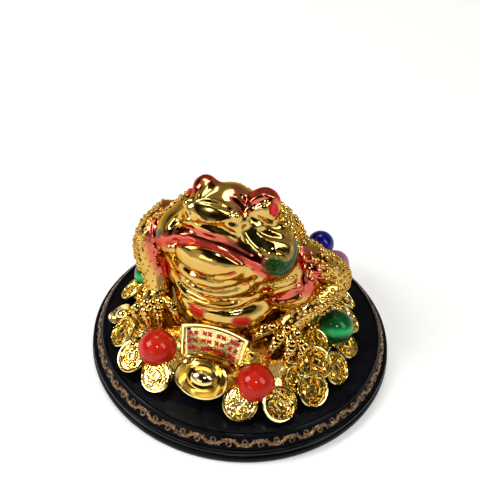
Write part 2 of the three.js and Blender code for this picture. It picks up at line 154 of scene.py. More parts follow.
def new_material(name):
    """A bare material, what adds a node to it, and the piece's own coordinates in millimetres."""
    material = bpy.data.materials.new(name)
    material.use_nodes = True
    material.node_tree.nodes.clear()
    add = functools.partial(add_node, material.node_tree)
    place = add("Mapping", {"Vector": add("TexCoord", out="Object"), "Scale": (1 / MM,) * 3})
    return material, add, place


print("blue as linear numbers:", [round(v, 3) for v in srgb("120C78")])

# %% [markdown]
# Plate like a mirror shows its surroundings more than itself, so the room matters as much as the
# lamps. A photograph of a room would do as a background, but a few ramps are enough and leave
# each patch free to move. The side of the room that the toad faces is bright, with a dark
# spot where the photographer stands, and the far side is dim. A soft cloud pattern stands for
# furniture and curtains, and gives the plate its brown-black patches. Three more patches
# are a bright wall in front, a bright ceiling behind and a dark corner on the right. The
# horizon and all below it stay pale, like the paper.

# %% Room
FACE_AT = Vector((-8, -35, 105))
WALLS = [  # by the cosine of the angle from the photographer, who stands at 1
    (0.0, "B0A89C"), (0.3, "CFC8BC"), (0.7, "F4F1EA"),
    (0.79, "C8C0B0"), (0.86, "2E2822"), (1.0, "1C1814"),
]
ROOM_PATCHES = [  # direction, cosines of the soft edge, colours outside and inside, way of mixing
    ((-0.1, -0.93, 0.34), 0.86, 0.9, "000000", "FFFFFF", "LIGHTEN"),
    ((-0.2, 0.55, 0.81), 0.8, 0.88, "000000", "FFFFFF", "LIGHTEN"),
    ((0.88, -0.2, 0.42), 0.8, 0.88, "FFFFFF", "3A3026", "DARKEN"),
]

scene.view_settings.view_transform = "Standard"
scene.world = bpy.data.worlds.new("room")
scene.world.use_nodes = True
tree = scene.world.node_tree
tree.nodes.clear()
add = functools.partial(add_node, tree)
direction = add("TexCoord", out="Generated")
to_camera = (CAMERA_AT - FACE_AT).normalized()
facing = add("VectorMath", (direction, to_camera), operation="DOT_PRODUCT")
walls = add("ValToRGB", (facing,), stops=WALLS)
clouds = add("TexNoise", {"Vector": direction, "Scale": 1.3, "Detail": 0.5, "Distortion": 0.3})
furniture = add("ValToRGB", (clouds,), stops=[(0.44, "2A241C"), (0.5, "FFFFFF")])
for toward, edge, core, outside, inside, how in ROOM_PATCHES:
    aim = add("VectorMath", (direction, Vector(toward).normalized()), operation="DOT_PRODUCT")
    patch = add("ValToRGB", (aim,), stops=[(edge, outside), (core, inside)])
    furniture = add("Mix", {"Factor": 1.0, "A": furniture, "B": patch},
                    data_type="RGBA", blend_type=how)
room = add("Mix", {"Factor": 1.0, "A": walls, "B": furniture},
           data_type="RGBA", blend_type="MULTIPLY")
height = add("SeparateXYZ", (direction,), "Z")
above = add("ValToRGB", (height,), stops=[(0.08, "000000"), (0.24, "FFFFFF")])
room = add("Mix", {"Factor": above, "A": "F1EFEA", "B": room}, data_type="RGBA")
background = add("Background", {"Color": room, "Strength": 0.62})
add("OutputWorld", {"Surface": background})
print("room:", len(tree.nodes), "nodes")

# %% [markdown]
# The light is that of a white tent for small goods: broad windows on both sides, a narrower one
# overhead and behind, and two small lamps in front that put sparks on the plate. Point lamps
# would be simpler, but a pane's size sets how soft the shadows are, and a mirror shows it as a
# bright pane. The toad stands on white paper, which is bright enough to lose its edge.

# %% Lamps and floor
LIT_POINT = Vector((0, 0, 0.05))
LAMPS = [  # name, place and size in metres, and power in watts
    ("window_left", (-0.9, -0.5, 0.9), (0.6, 0.6), 12),
    ("window_right", (0.9, -0.2, 1.0), (0.45, 0.8), 6),
    ("window_back", (-0.25, 0.5, 1.25), (0.5, 0.3), 4),
    ("low_front", (-0.25, -1.2, 0.36), (0.5, 0.22), 0.9),
    ("small_lamp", (0.25, -0.75, 1.1), (0.12, 0.12), 3),
]
FLOOR_SIZE, FLOOR_DROP = 4, 0.2  # half its width in metres, and millimetres below the stand


def soft_lamp(name, at, size, power):
    """A white pane of light at a place in metres, aimed at the toad."""
    data = bpy.data.lights.new(name, "AREA")
    data.shape = "RECTANGLE"
    data.size, data.size_y = size
    data.energy = power
    lamp = in_scene(name, data)
    lamp.location = at
    lamp.rotation_euler = (LIT_POINT - Vector(at)).to_track_quat("-Z", "Y").to_euler()


for lamp in LAMPS:
    soft_lamp(*lamp)


def mesh_of(shape, name):
    """Turns a bmesh into a mesh and frees it."""
    mesh = bpy.data.meshes.new(name)
    shape.to_mesh(mesh)
    shape.free()
    return mesh


# Matt paper: it spreads light evenly and shows the eye no reflection. The little light of its own
# stands for the tent's overexposed white, and grows where the paper would curve up at the back.
paper, add, place = new_material("white_paper_floor")
far = add("VectorMath", (place,), "Value", operation="LENGTH")
glow = add("MapRange", (far, 300, 900, 0.17, 0.45))
shader = add("BsdfPrincipled", {
    "Base Color": "F6F6F4", "Roughness": 0.7,
    "Emission Color": "FFFFFF", "Emission Strength": glow})
add("OutputMaterial", {"Surface": shader})
sheet = bmesh.new()
bmesh.ops.create_grid(sheet, x_segments=1, y_segments=1, size=FLOOR_SIZE)
floor = in_scene("floor", mesh_of(sheet, "floor"))
floor.location.z = -FLOOR_DROP * MM
floor.data.materials.append(paper)
print("lamps:", len(bpy.data.lights))

# %% [markdown]
# Every piece ends in the same way, so one function does it: the mesh goes to its place and to
# metres, gets its material, is shaded smooth but for its sharp edges, is parented to the model's
# body, and the solid it stands for is hidden.
# Moving the object would look the same here, but its patterns would slide when it is
# exported. So the place goes into the mesh, and the object stays at the origin.

# %% Finish a piece
SHARP_EDGE = math.radians(32)


def finished(mesh, name, material, node="toad_on_coins", slot="gold_plate", shift=CASTING_SHIFT):
    """Turns a mesh in millimetres into a finished piece that stands for a solid."""
    mesh.transform(Matrix.Scale(MM, 4) @ Matrix.Translation(shift))
    mesh.materials.append(material)
    mesh.shade_smooth()
    mesh.set_sharp_from_angle(angle=SHARP_EDGE)
    piece = in_scene(name, mesh)
    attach(piece, "root")
    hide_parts(node)
    print(f"{name}: {sum(len(p.vertices) - 2 for p in mesh.polygons)} triangles")
    return piece


print("edges sharper than", round(math.degrees(SHARP_EDGE)), "degrees stay sharp")

# %% [markdown]
# The stand is turned on a lathe from wood and lacquered black. It could be stacked up from
# cylinders, but a lathe works from one profile, and so does the spin operator: the profile
# is drawn once and spun round the middle. It has a rounded foot, a groove, a thin step, a
# sloping band, a raised rim and a sunk flat top.

# %% Stand
STAND_RADIUS = 104.9
STAND_SLOT = ("stand", "black_lacquer", (0, 0, 0))  # node, slot and shift of its pieces
PROFILE = [  # millimetres in from the stand's edge, and up: foot, step, band and rim
    (-1.5, 0), (-0.3, 0.8), (0, 2.2), (0, 3.6), (-0.35, 4.9), (-1.2, 5.7), (-1.7, 6.0),
    (-1.55, 6.5), (-0.95, 6.9), (-0.8, 7.6), (-0.95, 8.6), (-1.6, 9.15), (-2.6, 9.2), (-3.3, 9.0),
    (-3.6, 9.6), (-4.55, 10.9), (-5.5, 12.3), (-6.45, 13.7), (-7.3, 14.9),
    (-7.6, 15.2), (-7.8, 15.9), (-8.2, 16.45), (-8.8, 16.7), (-9.5, 16.45), (-10.0, 15.9),
    (-10.4, 15.6),
]
STAND_STEPS = 160  # flats round the stand, too short to be seen
FLAT_TOP = 60  # the sunk top is flat from this radius on


def turned(profile, steps):
    """A closed shape turned on a lathe from a profile that starts and ends on the axis."""
    shape = bmesh.new()
    points = [shape.verts.new((r, 0, z)) for r, z in profile]
    edges = [shape.edges.new(pair) for pair in zip(points, points[1:])]
    bmesh.ops.spin(shape, geom=points + edges, cent=(0, 0, 0), axis=(0, 0, 1), angle=2 * math.pi,
                   steps=steps, use_merge=True)
    bmesh.ops.remove_doubles(shape, verts=shape.verts, dist=0.001)
    bmesh.ops.recalc_face_normals(shape, faces=shape.faces)
    return shape


# Black lacquer brushed on turned wood and rubbed down. It is a dark varnish with a low, slightly
# uneven gloss: the eye sees blue-black with soft long reflections. Its clouds are 14 mm across, as
# the coats are laid; the rubbing shows in 6 mm patches, and brush waves 5 mm wide are 0.08 mm deep.
black_lacquer, add, place = new_material("black_lacquer_on_turned_wood")
coats = add("TexNoise", {"Vector": place, "Scale": 1 / 14, "Detail": 3, "Distortion": 0.6})
share = add("MapRange", (coats, 0.35, 0.7))
colour = add("Mix", {"Factor": share, "A": "050609", "B": "0D0E14"}, data_type="RGBA")
rubbing = add("TexNoise", {"Vector": place, "Scale": 1 / 6, "Detail": 4})
waves = add("TexNoise", {"Vector": place, "Scale": 1 / 5, "Detail": 3})
shader = add("BsdfPrincipled", {
    "Base Color": colour, "Roughness": add("MapRange", (rubbing, 0.3, 0.7, 0.12, 0.26)),
    "Specular IOR Level": 0.07, "Normal": add("Bump", {"Height": waves, "Distance": 0.08 * MM})})
add("OutputMaterial", {"Surface": shader})

edge = [(STAND_RADIUS + r, z) for r, z in PROFILE]
disc = turned([(0, 0), *edge, (FLAT_TOP, STAND_TOP), (0, STAND_TOP)], STAND_STEPS)
finished(mesh_of(disc, "stand"), "stand_turned", black_lacquer, *STAND_SLOT)

# %% [markdown]
# On the sloping band runs a carved vine: one long wave with a curl growing from each turn, and two
# leaves beside each curl. It could be a pattern in the material, but then it would cast no
# shadow and the band's edge would stay smooth. Curves with a round section are quick to lay
# along any path, so each stem is one, sunk to its middle in the band, and they become one mesh.

# %% Vine on the stand's band
BAND_LOW, BAND_HIGH = (-3.7, 9.7), (-7.3, 14.9)  # millimetres in from the stand's edge, and up
BAND_WIDTH = 6.3
VINE_REPEATS = 33
STEM = 0.84
TURN_PER_MM = 1 / (STAND_RADIUS - 5.5)
WAVE_HEIGHT = 2.0
CURL_RADII = (2.25, 0.9)  # where a curl starts, and at its middle
CURL_TURNS = (2.7, -4.9)  # the same in radians
CURL_DROP = 0.75
LEAVES = ((3.1, 1.3), (-3.4, -1.1))  # where each leaf starts beside the curl, and how far it leans


def on_band(turn, across):
    """A point on the band: a turn in radians, and millimetres from its middle line, up as plus."""
    rise = 0.5 + across / BAND_WIDTH
    r = STAND_RADIUS + BAND_LOW[0] + (BAND_HIGH[0] - BAND_LOW[0]) * rise
    z = BAND_LOW[1] + (BAND_HIGH[1] - BAND_LOW[1]) * rise
    return (r * math.sin(turn), -r * math.cos(turn), z)


def settled(thing):
    """The mesh that an object's curve or modifiers give. The object itself is taken away."""
    graph = bpy.context.evaluated_depsgraph_get()
    mesh = bpy.data.meshes.new_from_object(thing.evaluated_get(graph))
    bpy.data.objects.remove(thing)
    return mesh


def tubes(name, stems, resolution=1):
    """Round stems along lists of points, each point with its own thickness, as one mesh."""
    curve = bpy.data.curves.new(name, "CURVE")
    curve.dimensions = "3D"
    curve.bevel_depth = 1
    curve.bevel_resolution = resolution
    curve.use_fill_caps = True
    for points, radii, closed in stems:
        spline = curve.splines.new("POLY")
        spline.points.add(len(points) - 1)
        for point, at, radius in zip(spline.points, points, radii):
            point.co = (*at, 1)
            point.radius = radius
        spline.use_cyclic_u = closed
    return settled(in_scene(name, curve))


wave = np.linspace(0, 2 * math.pi, VINE_REPEATS * 12, endpoint=False)
vine = [([on_band(t, WAVE_HEIGHT * math.sin(VINE_REPEATS * t)) for t in wave],
         [STEM * (1.0 + 0.3 * math.cos(2 * VINE_REPEATS * t)) for t in wave], True)]
shares = np.linspace(0, 1, 13)
reaches, turns = np.interp(shares, (0, 1), CURL_RADII), np.interp(shares, (0, 1), CURL_TURNS)
for i in range(2 * VINE_REPEATS):
    side = 1 if i % 2 == 0 else -1
    middle = (i + 0.5) * math.pi / VINE_REPEATS
    spiral = [
        on_band(middle + reach * math.cos(turn) * TURN_PER_MM,
                side * (reach * math.sin(turn) - CURL_DROP))
        for reach, turn in zip(reaches, turns)]
    vine.append((spiral, [STEM * (0.95 - 0.45 * t) for t in shares[:-1]] + [STEM], False))
    for start, lean in LEAVES:
        blade = [
            on_band(middle + (start + lean * t) * TURN_PER_MM, side * (0.9 + 1.9 * t - 0.5 * t * t))
            for t in np.linspace(0, 1, 4)]
        vine.append((blade, [STEM * w for w in (0.5, 1.0, 0.75, 0.25)], False))
print("vine:", len(vine), "stems")

# %% [markdown]
# The vine is rubbed with bronze powder over the black lacquer, by hand, so the powder stays on the
# crests and is worn through in specks. A mask from the crests' height would be one way, but
# the stems are so thin that specks of noise read the same.

# %% Rubbed bronze
# Bronze powder rubbed on lacquer: where it lies it is metal, dull and brown-gold, and where it
# is worn off the dark lacquer shows. The specks are 1.6 mm across and the grains 0.9 mm: real
# powder is finer, but then neither would show in the render.
rubbed_bronze, add, place = new_material("bronze_powder_rubbed_on_lacquer")
specks = add("TexNoise", {"Vector": place, "Scale": 1 / 1.6, "Detail": 4, "Distortion": 1.0})
powder = add("MapRange", (specks, 0.4, 0.6))
grains = add("TexNoise", {"Vector": place, "Scale": 1 / 0.9, "Detail": 2})
shader = add("BsdfPrincipled", {
    "Base Color": add("Mix", {"Factor": powder, "A": "14100E", "B": "A8825A"}, data_type="RGBA"),
    "Metallic": add("MapRange", (powder, 0, 1, 0.2, 0.9)), "Roughness": 0.36,
    "Normal": add("Bump", {"Height": grains, "Distance": 0.12 * MM})})
add("OutputMaterial", {"Surface": shader})
finished(tubes("vine", vine), "stand_vine", rubbed_bronze, *STAND_SLOT)

# %% [markdown]
# Gold plate on resin is a thin mirror of metal under a clear lacquer. Where the maker has brushed
# on red or green lacquer, the mirror still shines through. The patches could be separate
# materials on separate faces, but their edges are soft. So one material serves the whole
# casting, and three painted masks on the skin say how much of each lacquer lies over the gold.
# The casting differs from place to place: the toad is smooth, the coins are grainy, and the ingots
# and the plaque get a paler copy of the plate, which paints their highlights brighter.

# %% Gold plate


def gold(name, plate, grain, grain_depth, lacquers=()):
    """Gold plate in two near colours, over a grain in millimetres, and the lacquers on it."""
    material, add, place = new_material(name)
    drift = add("TexNoise", {"Vector": place, "Scale": 1 / 18, "Detail": 3})
    share = add("MapRange", (drift, 0.3, 0.7))
    colour = add("Mix", {"Factor": share, "A": plate[0], "B": plate[1]}, data_type="RGBA")
    metal = 1.0
    for mask, code, opaque in lacquers:
        brushed = add("Attribute", out="Fac", attribute_name=mask)
        hairs = add("TexNoise", {"Vector": place, "Scale": 1 / 2.5, "Detail": 4, "Distortion": 1.5})
        streaks = add("MapRange", (hairs, 0.3, 0.5, 0.85, 1.0))
        cover = add("Math", (brushed, streaks), operation="MULTIPLY")
        colour = add("Mix", {"Factor": cover, "A": colour, "B": code}, data_type="RGBA")
        bare = add("MapRange", (cover, 0, 1, 1, 1 - opaque))
        metal = add("Math", (metal, bare), operation="MULTIPLY")
    handling = add("TexNoise", {"Vector": place, "Scale": 1 / 7, "Detail": 4})
    cast = add("TexNoise", {"Vector": place, "Scale": 1 / grain, "Detail": 2, "Distortion": 0.5})
    shader = add("BsdfPrincipled", {
        "Base Color": colour, "Specular Tint": colour, "Metallic": metal, "Specular IOR Level": 0.3,
        "Roughness": add("MapRange", (handling, 0.35, 0.75, 0.07, 0.2)),
        "Coat Weight": 0.15, "Coat Roughness": 0.04,
        "Normal": add("Bump", {"Height": cast, "Distance": grain_depth * MM})})
    add("OutputMaterial", {"Surface": shader})
    return material


# Gold plate on smooth cast resin, with thin lacquers brushed on: a warm mirror whose waves, 14 mm
# long and 0.2 mm deep, bend what it shows, as cast resin does. It is a little duller where it was
# handled, in 7 mm patches. The rose lacquer is clear and tints the mirror, so the plate glows red.
# The red and the green are nearly opaque, and the eye takes them for paint with a soft shine.
# The red mask also carries painted shade along the mouth, and the green mask a painted reflection on
# the knob behind the right cheek.
gold_plate = gold("gold_plate_on_smooth_resin", ("D0A650", "CCAC60"), 14, 0.2,
                  (("rose", "C8544A", 0.0), ("red", "B81C10", 0.8), ("green", "003C10", 0.75)))
# Gold plate on grainy cast resin: grains of 2.2 mm break the mirror into sparks, so the coins
# glitter. The sand of the real mould is finer, and is drawn as coarse as the render can show.
rough_gold = gold("gold_plate_on_grainy_casting", ("EACB74", "E6D28C"), 2.2, 0.12)
# Gold plate on lumpy cast resin: lumps of 3 mm, as deep as 0.45 mm, are left between the coins.
lumpy_gold = gold("gold_plate_on_lumpy_casting", ("EACB74", "E6D28C"), 3, 0.45)
# Gold plate painted paler than the rest: a lighter copy of the same plate that stands in for
# brighter highlights, so that its bright lines are nearly white.
paler_gold_for_highlights = gold("gold_plate_painted_paler_for_highlights", ("F6D886", "F4DE9C"), 14, 0.2)
# Gold plate on a stippled field, as punched in the mould: pits of 0.9 mm, a little coarser than
# the real ones so that they show, make the field dull beside its bright frame.
stippled_gold = gold("gold_plate_on_stippled_field", ("E2C47A", "D6C088"), 0.9, 0.14)
print("gold plate in", sum("gold" in m.name for m in bpy.data.materials), "finishes")

# %% [markdown]
# The casting is made as a sculptor would make it in clay. Masses are set together roughly, a voxel
# remesh turns them into one even skin of small squares, and a few rounds of smoothing run them
# into each other, as thumbs do. Joining them with booleans would leave hard seams
# instead. A mass that is used many times is made once, as a template, and then stamped.

# %% Clay, templates and skins


def template(name, make, **settings):
    """A small mesh of its own, made once, that is stamped into bigger ones many times over."""
    shape = bmesh.new()
    make(shape, **settings)
    return mesh_of(shape, name)


def stamp(shape, mesh, pose):
    """Adds a copy of a template to a shape, placed by a matrix."""
    mesh.transform(pose)
    shape.from_mesh(mesh)
    mesh.transform(pose.inverted())


def remeshed(clay, square, rounds):
    """One even skin of small squares round everything in the clay, smoothed by some rounds."""
    rough = mesh_of(clay, "clay")
    thing = in_scene("clay", rough)
    remesh = thing.modifiers.new("skin", "REMESH")
    remesh.mode = "VOXEL"
    remesh.voxel_size = square
    soften = thing.modifiers.new("soften", "SMOOTH")
    soften.factor = 0.5
    soften.iterations = rounds
    skin = settled(thing)
    bpy.data.meshes.remove(rough)
    return skin


FINE_BALL = template("fine_ball", bmesh.ops.create_icosphere, subdivisions=3, radius=1)
COARSE_BALL = template("coarse_ball", bmesh.ops.create_icosphere, subdivisions=2, radius=1)
print("fine ball:", len(FINE_BALL.polygons), "faces, coarse ball:", len(COARSE_BALL.polygons))

# %% [markdown]
# The heap under the toad is a low mound that is cast in one with it. A displaced ball would do,
# but the heap has a flat top and a steep side like a cake, so it is turned as the stand is. Its
# side then swells and dips by a formula, its front is cut away for the plaque, and a
# remesh rounds all of it.

# %% Heap
HEAP = [  # radius and height
    (0, 16), (71, 16), (70, 20), (74, 25), (73, 28.5), (66, 31.5), (56, 33.5), (30, 35), (0, 35),
]
SWELL, SWELL_AT, DIP_AT, SWELL_SPREAD = 7, 48, -88, 17  # how far, and where in degrees
LONG_EDGE = 9  # longer ones are cut in three before the heap is bent
RIPPLE, WAVES = 0.8, 9
FLAT_PART, FOOT = 30, 17  # the middle of the top stays as it is, and below the foot nothing ripples
PLAQUE_MIDDLE = 2
CUT_WIDTH, CUT_DEPTH, CUT_RUN = 24, 8, 8  # the cut for the plaque, which is full after its run
CUT_FROM, CUT_ABOVE = 40, 24  # where it begins, in front of the middle and above the ground
HEAP_SQUARE = 1.4


def heap_swell(angle):
    """How much farther than a plain circle the heap reaches: 0 degrees is the front, 90 is +X."""
    def near(centre):
        return math.exp(-(((angle - centre + 180) % 360 - 180) / SWELL_SPREAD) ** 2 / 2)
    return SWELL * near(SWELL_AT) - SWELL * near(DIP_AT)


heap = turned(HEAP, 72)
long_edges = [edge for edge in heap.edges if edge.calc_length() > LONG_EDGE]
bmesh.ops.subdivide_edges(heap, edges=long_edges, cuts=2, use_grid_fill=True)
for corner in heap.verts:
    radius = math.hypot(corner.co.x, corner.co.y)
    if radius > FLAT_PART:
        angle = math.atan2(corner.co.x, -corner.co.y)
        swell = 1 + heap_swell(math.degrees(angle)) / radius
        corner.co.x *= swell
        corner.co.y *= swell
        corner.co.z += RIPPLE * math.sin(WAVES * angle + radius) * (corner.co.z > FOOT)
    if corner.co.z > CUT_ABOVE and corner.co.y < -CUT_FROM:
        across = math.exp(-((corner.co.x - PLAQUE_MIDDLE) / CUT_WIDTH) ** 4)
        corner.co.z -= CUT_DEPTH * across * min(1, (-CUT_FROM - corner.co.y) / CUT_RUN)
finished(remeshed(heap, HEAP_SQUARE, 6), "coin_heap", lumpy_gold)

# %% [markdown]
# A cash coin is round, with a square hole, a rim round both, and four marks on its field. The
# hole could be cut with a boolean, but that leaves long thin faces. Here the coin's section
# is drawn out ring by ring from a circle of points, and the rings next to the hole are pushed
# out to the sides of a square. The marks are bars that cross at odd angles and spell nothing.

# %% A coin
COIN_POINTS = 24
COIN_SECTION = [  # half width, height, and how square the ring is
    (1.5, -1.2, 1), (1.5, 1.0, 1), (1.9, 1.5, 1), (2.5, 1.5, 1), (3.0, 1.0, 1), (3.1, -0.1, 1),
    (8.8, -0.1, 0), (9.1, 0.9, 0), (9.6, 1.5, 0), (10.2, 1.6, 0), (10.8, 1.1, 0), (11.0, 0.4, 0),
    (11.0, -0.8, 0), (10.6, -1.2, 0),
]
PLUG = Matrix.LocRotScale((0, 0, -0.4), None, (3.1, 3.1, 1.2))  # what is seen through the hole
BAR_TOP = 0.7  # how long a bar's ridge is beside its foot


def only(parts, kind):
    """The corners, or the edges, among the parts that an operator has made."""
    return [part for part in parts if isinstance(part, kind)]


def place_ring(corners, half, z, squareness):
    """Moves a ring's corners, each along its own direction, on to a circle or out to a square."""
    for corner in corners:
        angle = math.atan2(corner.co.y, corner.co.x)
        widest = max(abs(math.cos(angle)), abs(math.sin(angle)))
        reach = half * (1 + squareness * (1 / widest - 1))
        corner.co = (reach * math.cos(angle), reach * math.sin(angle), z)


def bar(shape, at, size, turn, ridge=0.15):
    """A short raised bar with sides that lean in to a ridge, one stroke of a mark."""
    cube = bmesh.ops.create_cube(shape, size=1)["verts"]
    for corner in cube:
        if corner.co.z > 0:
            corner.co.x *= BAR_TOP
            corner.co.y *= ridge
    pose = Matrix.LocRotScale(at, Matrix.Rotation(turn, 3, "Z"), size)
    bmesh.ops.transform(shape, matrix=pose, verts=cube)


def make_coin(seed):
    """A cash coin facing +Z, with a plain mark of crossed strokes on each side of its hole."""
    draw = random.Random(seed)
    shape = bmesh.new()
    circle = bmesh.ops.create_circle(shape, segments=COIN_POINTS, radius=1)["verts"]
    place_ring(circle, *COIN_SECTION[0])
    edges = list(shape.edges)
    for section in COIN_SECTION[1:] + COIN_SECTION[:1]:
        grown = bmesh.ops.extrude_edge_only(shape, edges=edges)["geom"]
        edges = only(grown, bmesh.types.BMEdge)
        place_ring(only(grown, bmesh.types.BMVert), *section)
    bmesh.ops.remove_doubles(shape, verts=shape.verts, dist=0.001)
    bmesh.ops.recalc_face_normals(shape, faces=shape.faces)
    plug = bmesh.ops.create_cube(shape, size=1)["verts"]
    bmesh.ops.transform(shape, matrix=PLUG, verts=plug)
    # Each mark is three strokes across, two that cross them, and one beside it at the corner.
    for quarter in range(4):
        turn = quarter * math.pi / 2
        around = Matrix.Rotation(turn, 3, "Z")
        for row in range(3):
            at = around @ Vector((draw.uniform(-0.5, 0.5), 4.2 + 1.9 * row, 0.5))
            bar(shape, at, (draw.uniform(3.4, 5.2), 1.8, 1.7), turn + draw.uniform(-0.45, 0.45))
        for column in (-1.9, 1.8):
            at = around @ Vector((column + draw.uniform(-0.5, 0.5), draw.uniform(5.2, 6.6), 0.5))
            bar(shape, at, (1.8, draw.uniform(2.6, 4.4), 1.7), turn + draw.uniform(-0.6, 0.6))
        between = Matrix.Rotation(turn + math.pi / 4, 3, "Z")
        at = between @ Vector((draw.uniform(-0.6, 0.6), 5.9, 0.5))
        bar(shape, at, (draw.uniform(2.2, 3.4), 1.7, 1.5), turn + draw.uniform(0, 3))
    return shape


sample = make_coin(0)
print("a coin:", len(sample.faces), "faces")
sample.free()

# %% [markdown]
# Whole coins lie round the foot of the heap like tiles and lean on it, and smaller ones stick out
# of it higher up at all angles. A physics simulation could drop them there, but would put
# them somewhere else than the picture shows. So they are laid by angle round the heap, with a
# seeded draw for the disorder. None lies where an ingot or the plaque is, and at the feet, where
# the smaller ones would hide the claws, every other one is left out and the rest lie lower.

# %% Coins
RIM_COINS, RIM_START, RIM_PITCH = 21, 21, 16  # how many, and their angles in degrees
RIM_REACH, RIM_HEIGHT, RIM_LEAN = 80, 24.6, 41
UPPER_ANGLES, UPPER_REACH, UPPER_HEIGHT, UPPER_LEAN = (62, 100, 140, 225), 70, 31.5, 27
LOOSE_COINS = 46
LOOSE_PLACES = ((70, 31), (63, 33.5), (56, 35))  # reach and height
LOOSE_SIZE = (0.85, 0.85, 0.9, 1)  # beside a whole coin
LOOSE_TURN, LOOSE_LEAN, LOOSE_SPIN = (-20, 20), (8, 48), (0, 90)  # from and to, in degrees
KEPT_FREE = ((-24, 28), (-74, -54))  # the angles of the plaque and of the small ingot
FEET_ANGLE, FEET_PLACE = 62, (70, 29)
SMALL_INGOT_ANGLE, INGOT_ROOM = -64, 8  # no whole coin lies nearer to the small ingot than this


def leaning(at, angle, lean, spin=0.0):
    """The pose of a thing whose face is +Z and leans outward at an angle round the heap."""
    turn, tip, roll_over = (math.radians(a) for a in (angle, lean, spin))
    return (Matrix.Translation(at) @ Matrix.Rotation(turn, 4, "Z") @ Matrix.Rotation(tip, 4, "X")
            @ Matrix.Rotation(roll_over, 4, "Z"))


def outward(angle, reach, z):
    """The point at a reach from the heap's middle: 0 degrees is the front, 90 is +X."""
    turn = math.radians(angle)
    return Vector((reach * math.sin(turn), -reach * math.cos(turn), z))


def put_in(whole, shape, pose):
    """Moves a shape by a pose and adds it to a bigger one."""
    part = mesh_of(shape, "part")
    part.transform(pose)
    whole.from_mesh(part)
    bpy.data.meshes.remove(part)


coins = bmesh.new()
# Sines of a coin's number give the whole coins their small disorder.
for i in range(RIM_COINS):
    angle = RIM_START + RIM_PITCH * i
    if abs(angle - 360 - SMALL_INGOT_ANGLE) >= INGOT_ROOM:
        at = outward(angle, RIM_REACH + heap_swell(angle) + math.sin(2.4 * i), RIM_HEIGHT)
        lean = RIM_LEAN + 5 * math.sin(1.7 * i + 4)
        put_in(coins, make_coin(i), leaning(at, angle, lean, 31 * i))
for i, angle in enumerate(UPPER_ANGLES):
    at = outward(angle, UPPER_REACH + heap_swell(angle), UPPER_HEIGHT + math.sin(angle))
    put_in(coins, make_coin(40 + i), leaning(at, angle, UPPER_LEAN, 2 * angle))
draw = random.Random(11)
for i in range(LOOSE_COINS):
    angle = 360 * i / LOOSE_COINS + draw.uniform(-3, 3)
    reach, height = draw.choice(LOOSE_PLACES)
    front_angle = (angle + 180) % 360 - 180
    if any(low < front_angle < high for low, high in KEPT_FREE):
        continue
    if abs(front_angle) < FEET_ANGLE:
        reach, height = FEET_PLACE
        if i % 2:
            continue
    at = outward(angle, reach + heap_swell(angle), height)
    turn, lean, spin = (draw.uniform(*limits) for limits in (LOOSE_TURN, LOOSE_LEAN, LOOSE_SPIN))
    pose = leaning(at, angle + turn, lean, spin)
    put_in(coins, make_coin(60 + i), pose @ Matrix.Diagonal(LOOSE_SIZE))
finished(mesh_of(coins, "coins"), "cash_coins", rough_gold)

# %% [markdown]
# Two boat-shaped ingots lie among the coins. Such an ingot is a dish with upturned ends round a
# dome. It could be carved out of a block, but most of it is round: so it is turned as a round
# one, drawn out to an oval, and its two ends are raised.

# %% Ingots
INGOT_SECTION = [  # half width, as a share of half the length, and height, as a share of the depth
    (0, -1), (0.5, -0.98), (0.82, -0.62), (0.97, -0.22), (1.0, -0.08), (0.985, 0.0), (0.93, 0.02),
    (0.86, -0.06), (0.74, -0.22), (0.62, -0.3), (0.56, -0.26), (0.52, -0.1), (0.46, 0.06),
    (0.36, 0.2), (0.2, 0.3), (0, 0.33),
]
INGOTS = [  # length, width and depth, and its pose
    ((34, 25, 12), leaning((3, -72, 30.5), 2, 48)),
    ((20.4, 15, 7.2), leaning(outward(SMALL_INGOT_ANGLE, 79, 24), SMALL_INGOT_ANGLE, 40, 70)),
]
INGOT_STEPS = 48
UPTURNED_FROM, UPTURN = 0.6, 0.3  # from which share of half the length the ends rise, and how far


def make_ingot(length, width, depth):
    """A boat-shaped ingot whose dome faces +Z."""
    shape = turned([(r * length / 2, z * depth) for r, z in INGOT_SECTION], INGOT_STEPS)
    for corner in shape.verts:
        out = abs(corner.co.x) / (length / 2)
        corner.co.y *= width / length
        if out > UPTURNED_FROM:
            corner.co.z += UPTURN * depth * ((out - UPTURNED_FROM) / (1 - UPTURNED_FROM)) ** 1.5
    return shape


ingots = bmesh.new()
for size, pose in INGOTS:
    put_in(ingots, make_ingot(*size), pose)
finished(mesh_of(ingots, "ingots"), "ingots", paler_gold_for_highlights)

# %% [markdown]
# The plaque is a fan-shaped board under the belly, with a raised frame round a sunk field. It
# could be drawn as a curve and filled, but its faces are needed in a row for the frame. So a
# grid is bent to the fan and thickened, and then its front is inset five times, each time up or
# down, which gives the frame its steps. A rounded ledge runs along its foot.

# %% Plaque
PLAQUE_TOP, PLAQUE_BOTTOM, PLAQUE_HEIGHT = 44, 38, 22
PLAQUE_ARCH, PLAQUE_DEPTH = 4, 9
PLAQUE_POSE = leaning((PLAQUE_MIDDLE, -51, 35), 2, 59)
FRAME_STEPS = (  # how far in, and up
    (0.5, 0.35), (0.9, 0.0), (0.5, -0.9), (0.45, 0.35), (0.5, -0.35),
)
LEDGE_RADIUS, LEDGE_LINE = 2.3, -1.24  # the ledge's line runs below the fan, whose foot is at -1


def on_fan(u, v, z=0.0):
    """A point of the fan, with u and v from -1 to 1 across and up it."""
    half = (PLAQUE_BOTTOM + (PLAQUE_TOP - PLAQUE_BOTTOM) * (v + 1) / 2) / 2
    return Vector((u * half, v * PLAQUE_HEIGHT / 2 + PLAQUE_ARCH * (1 - u * u), z))


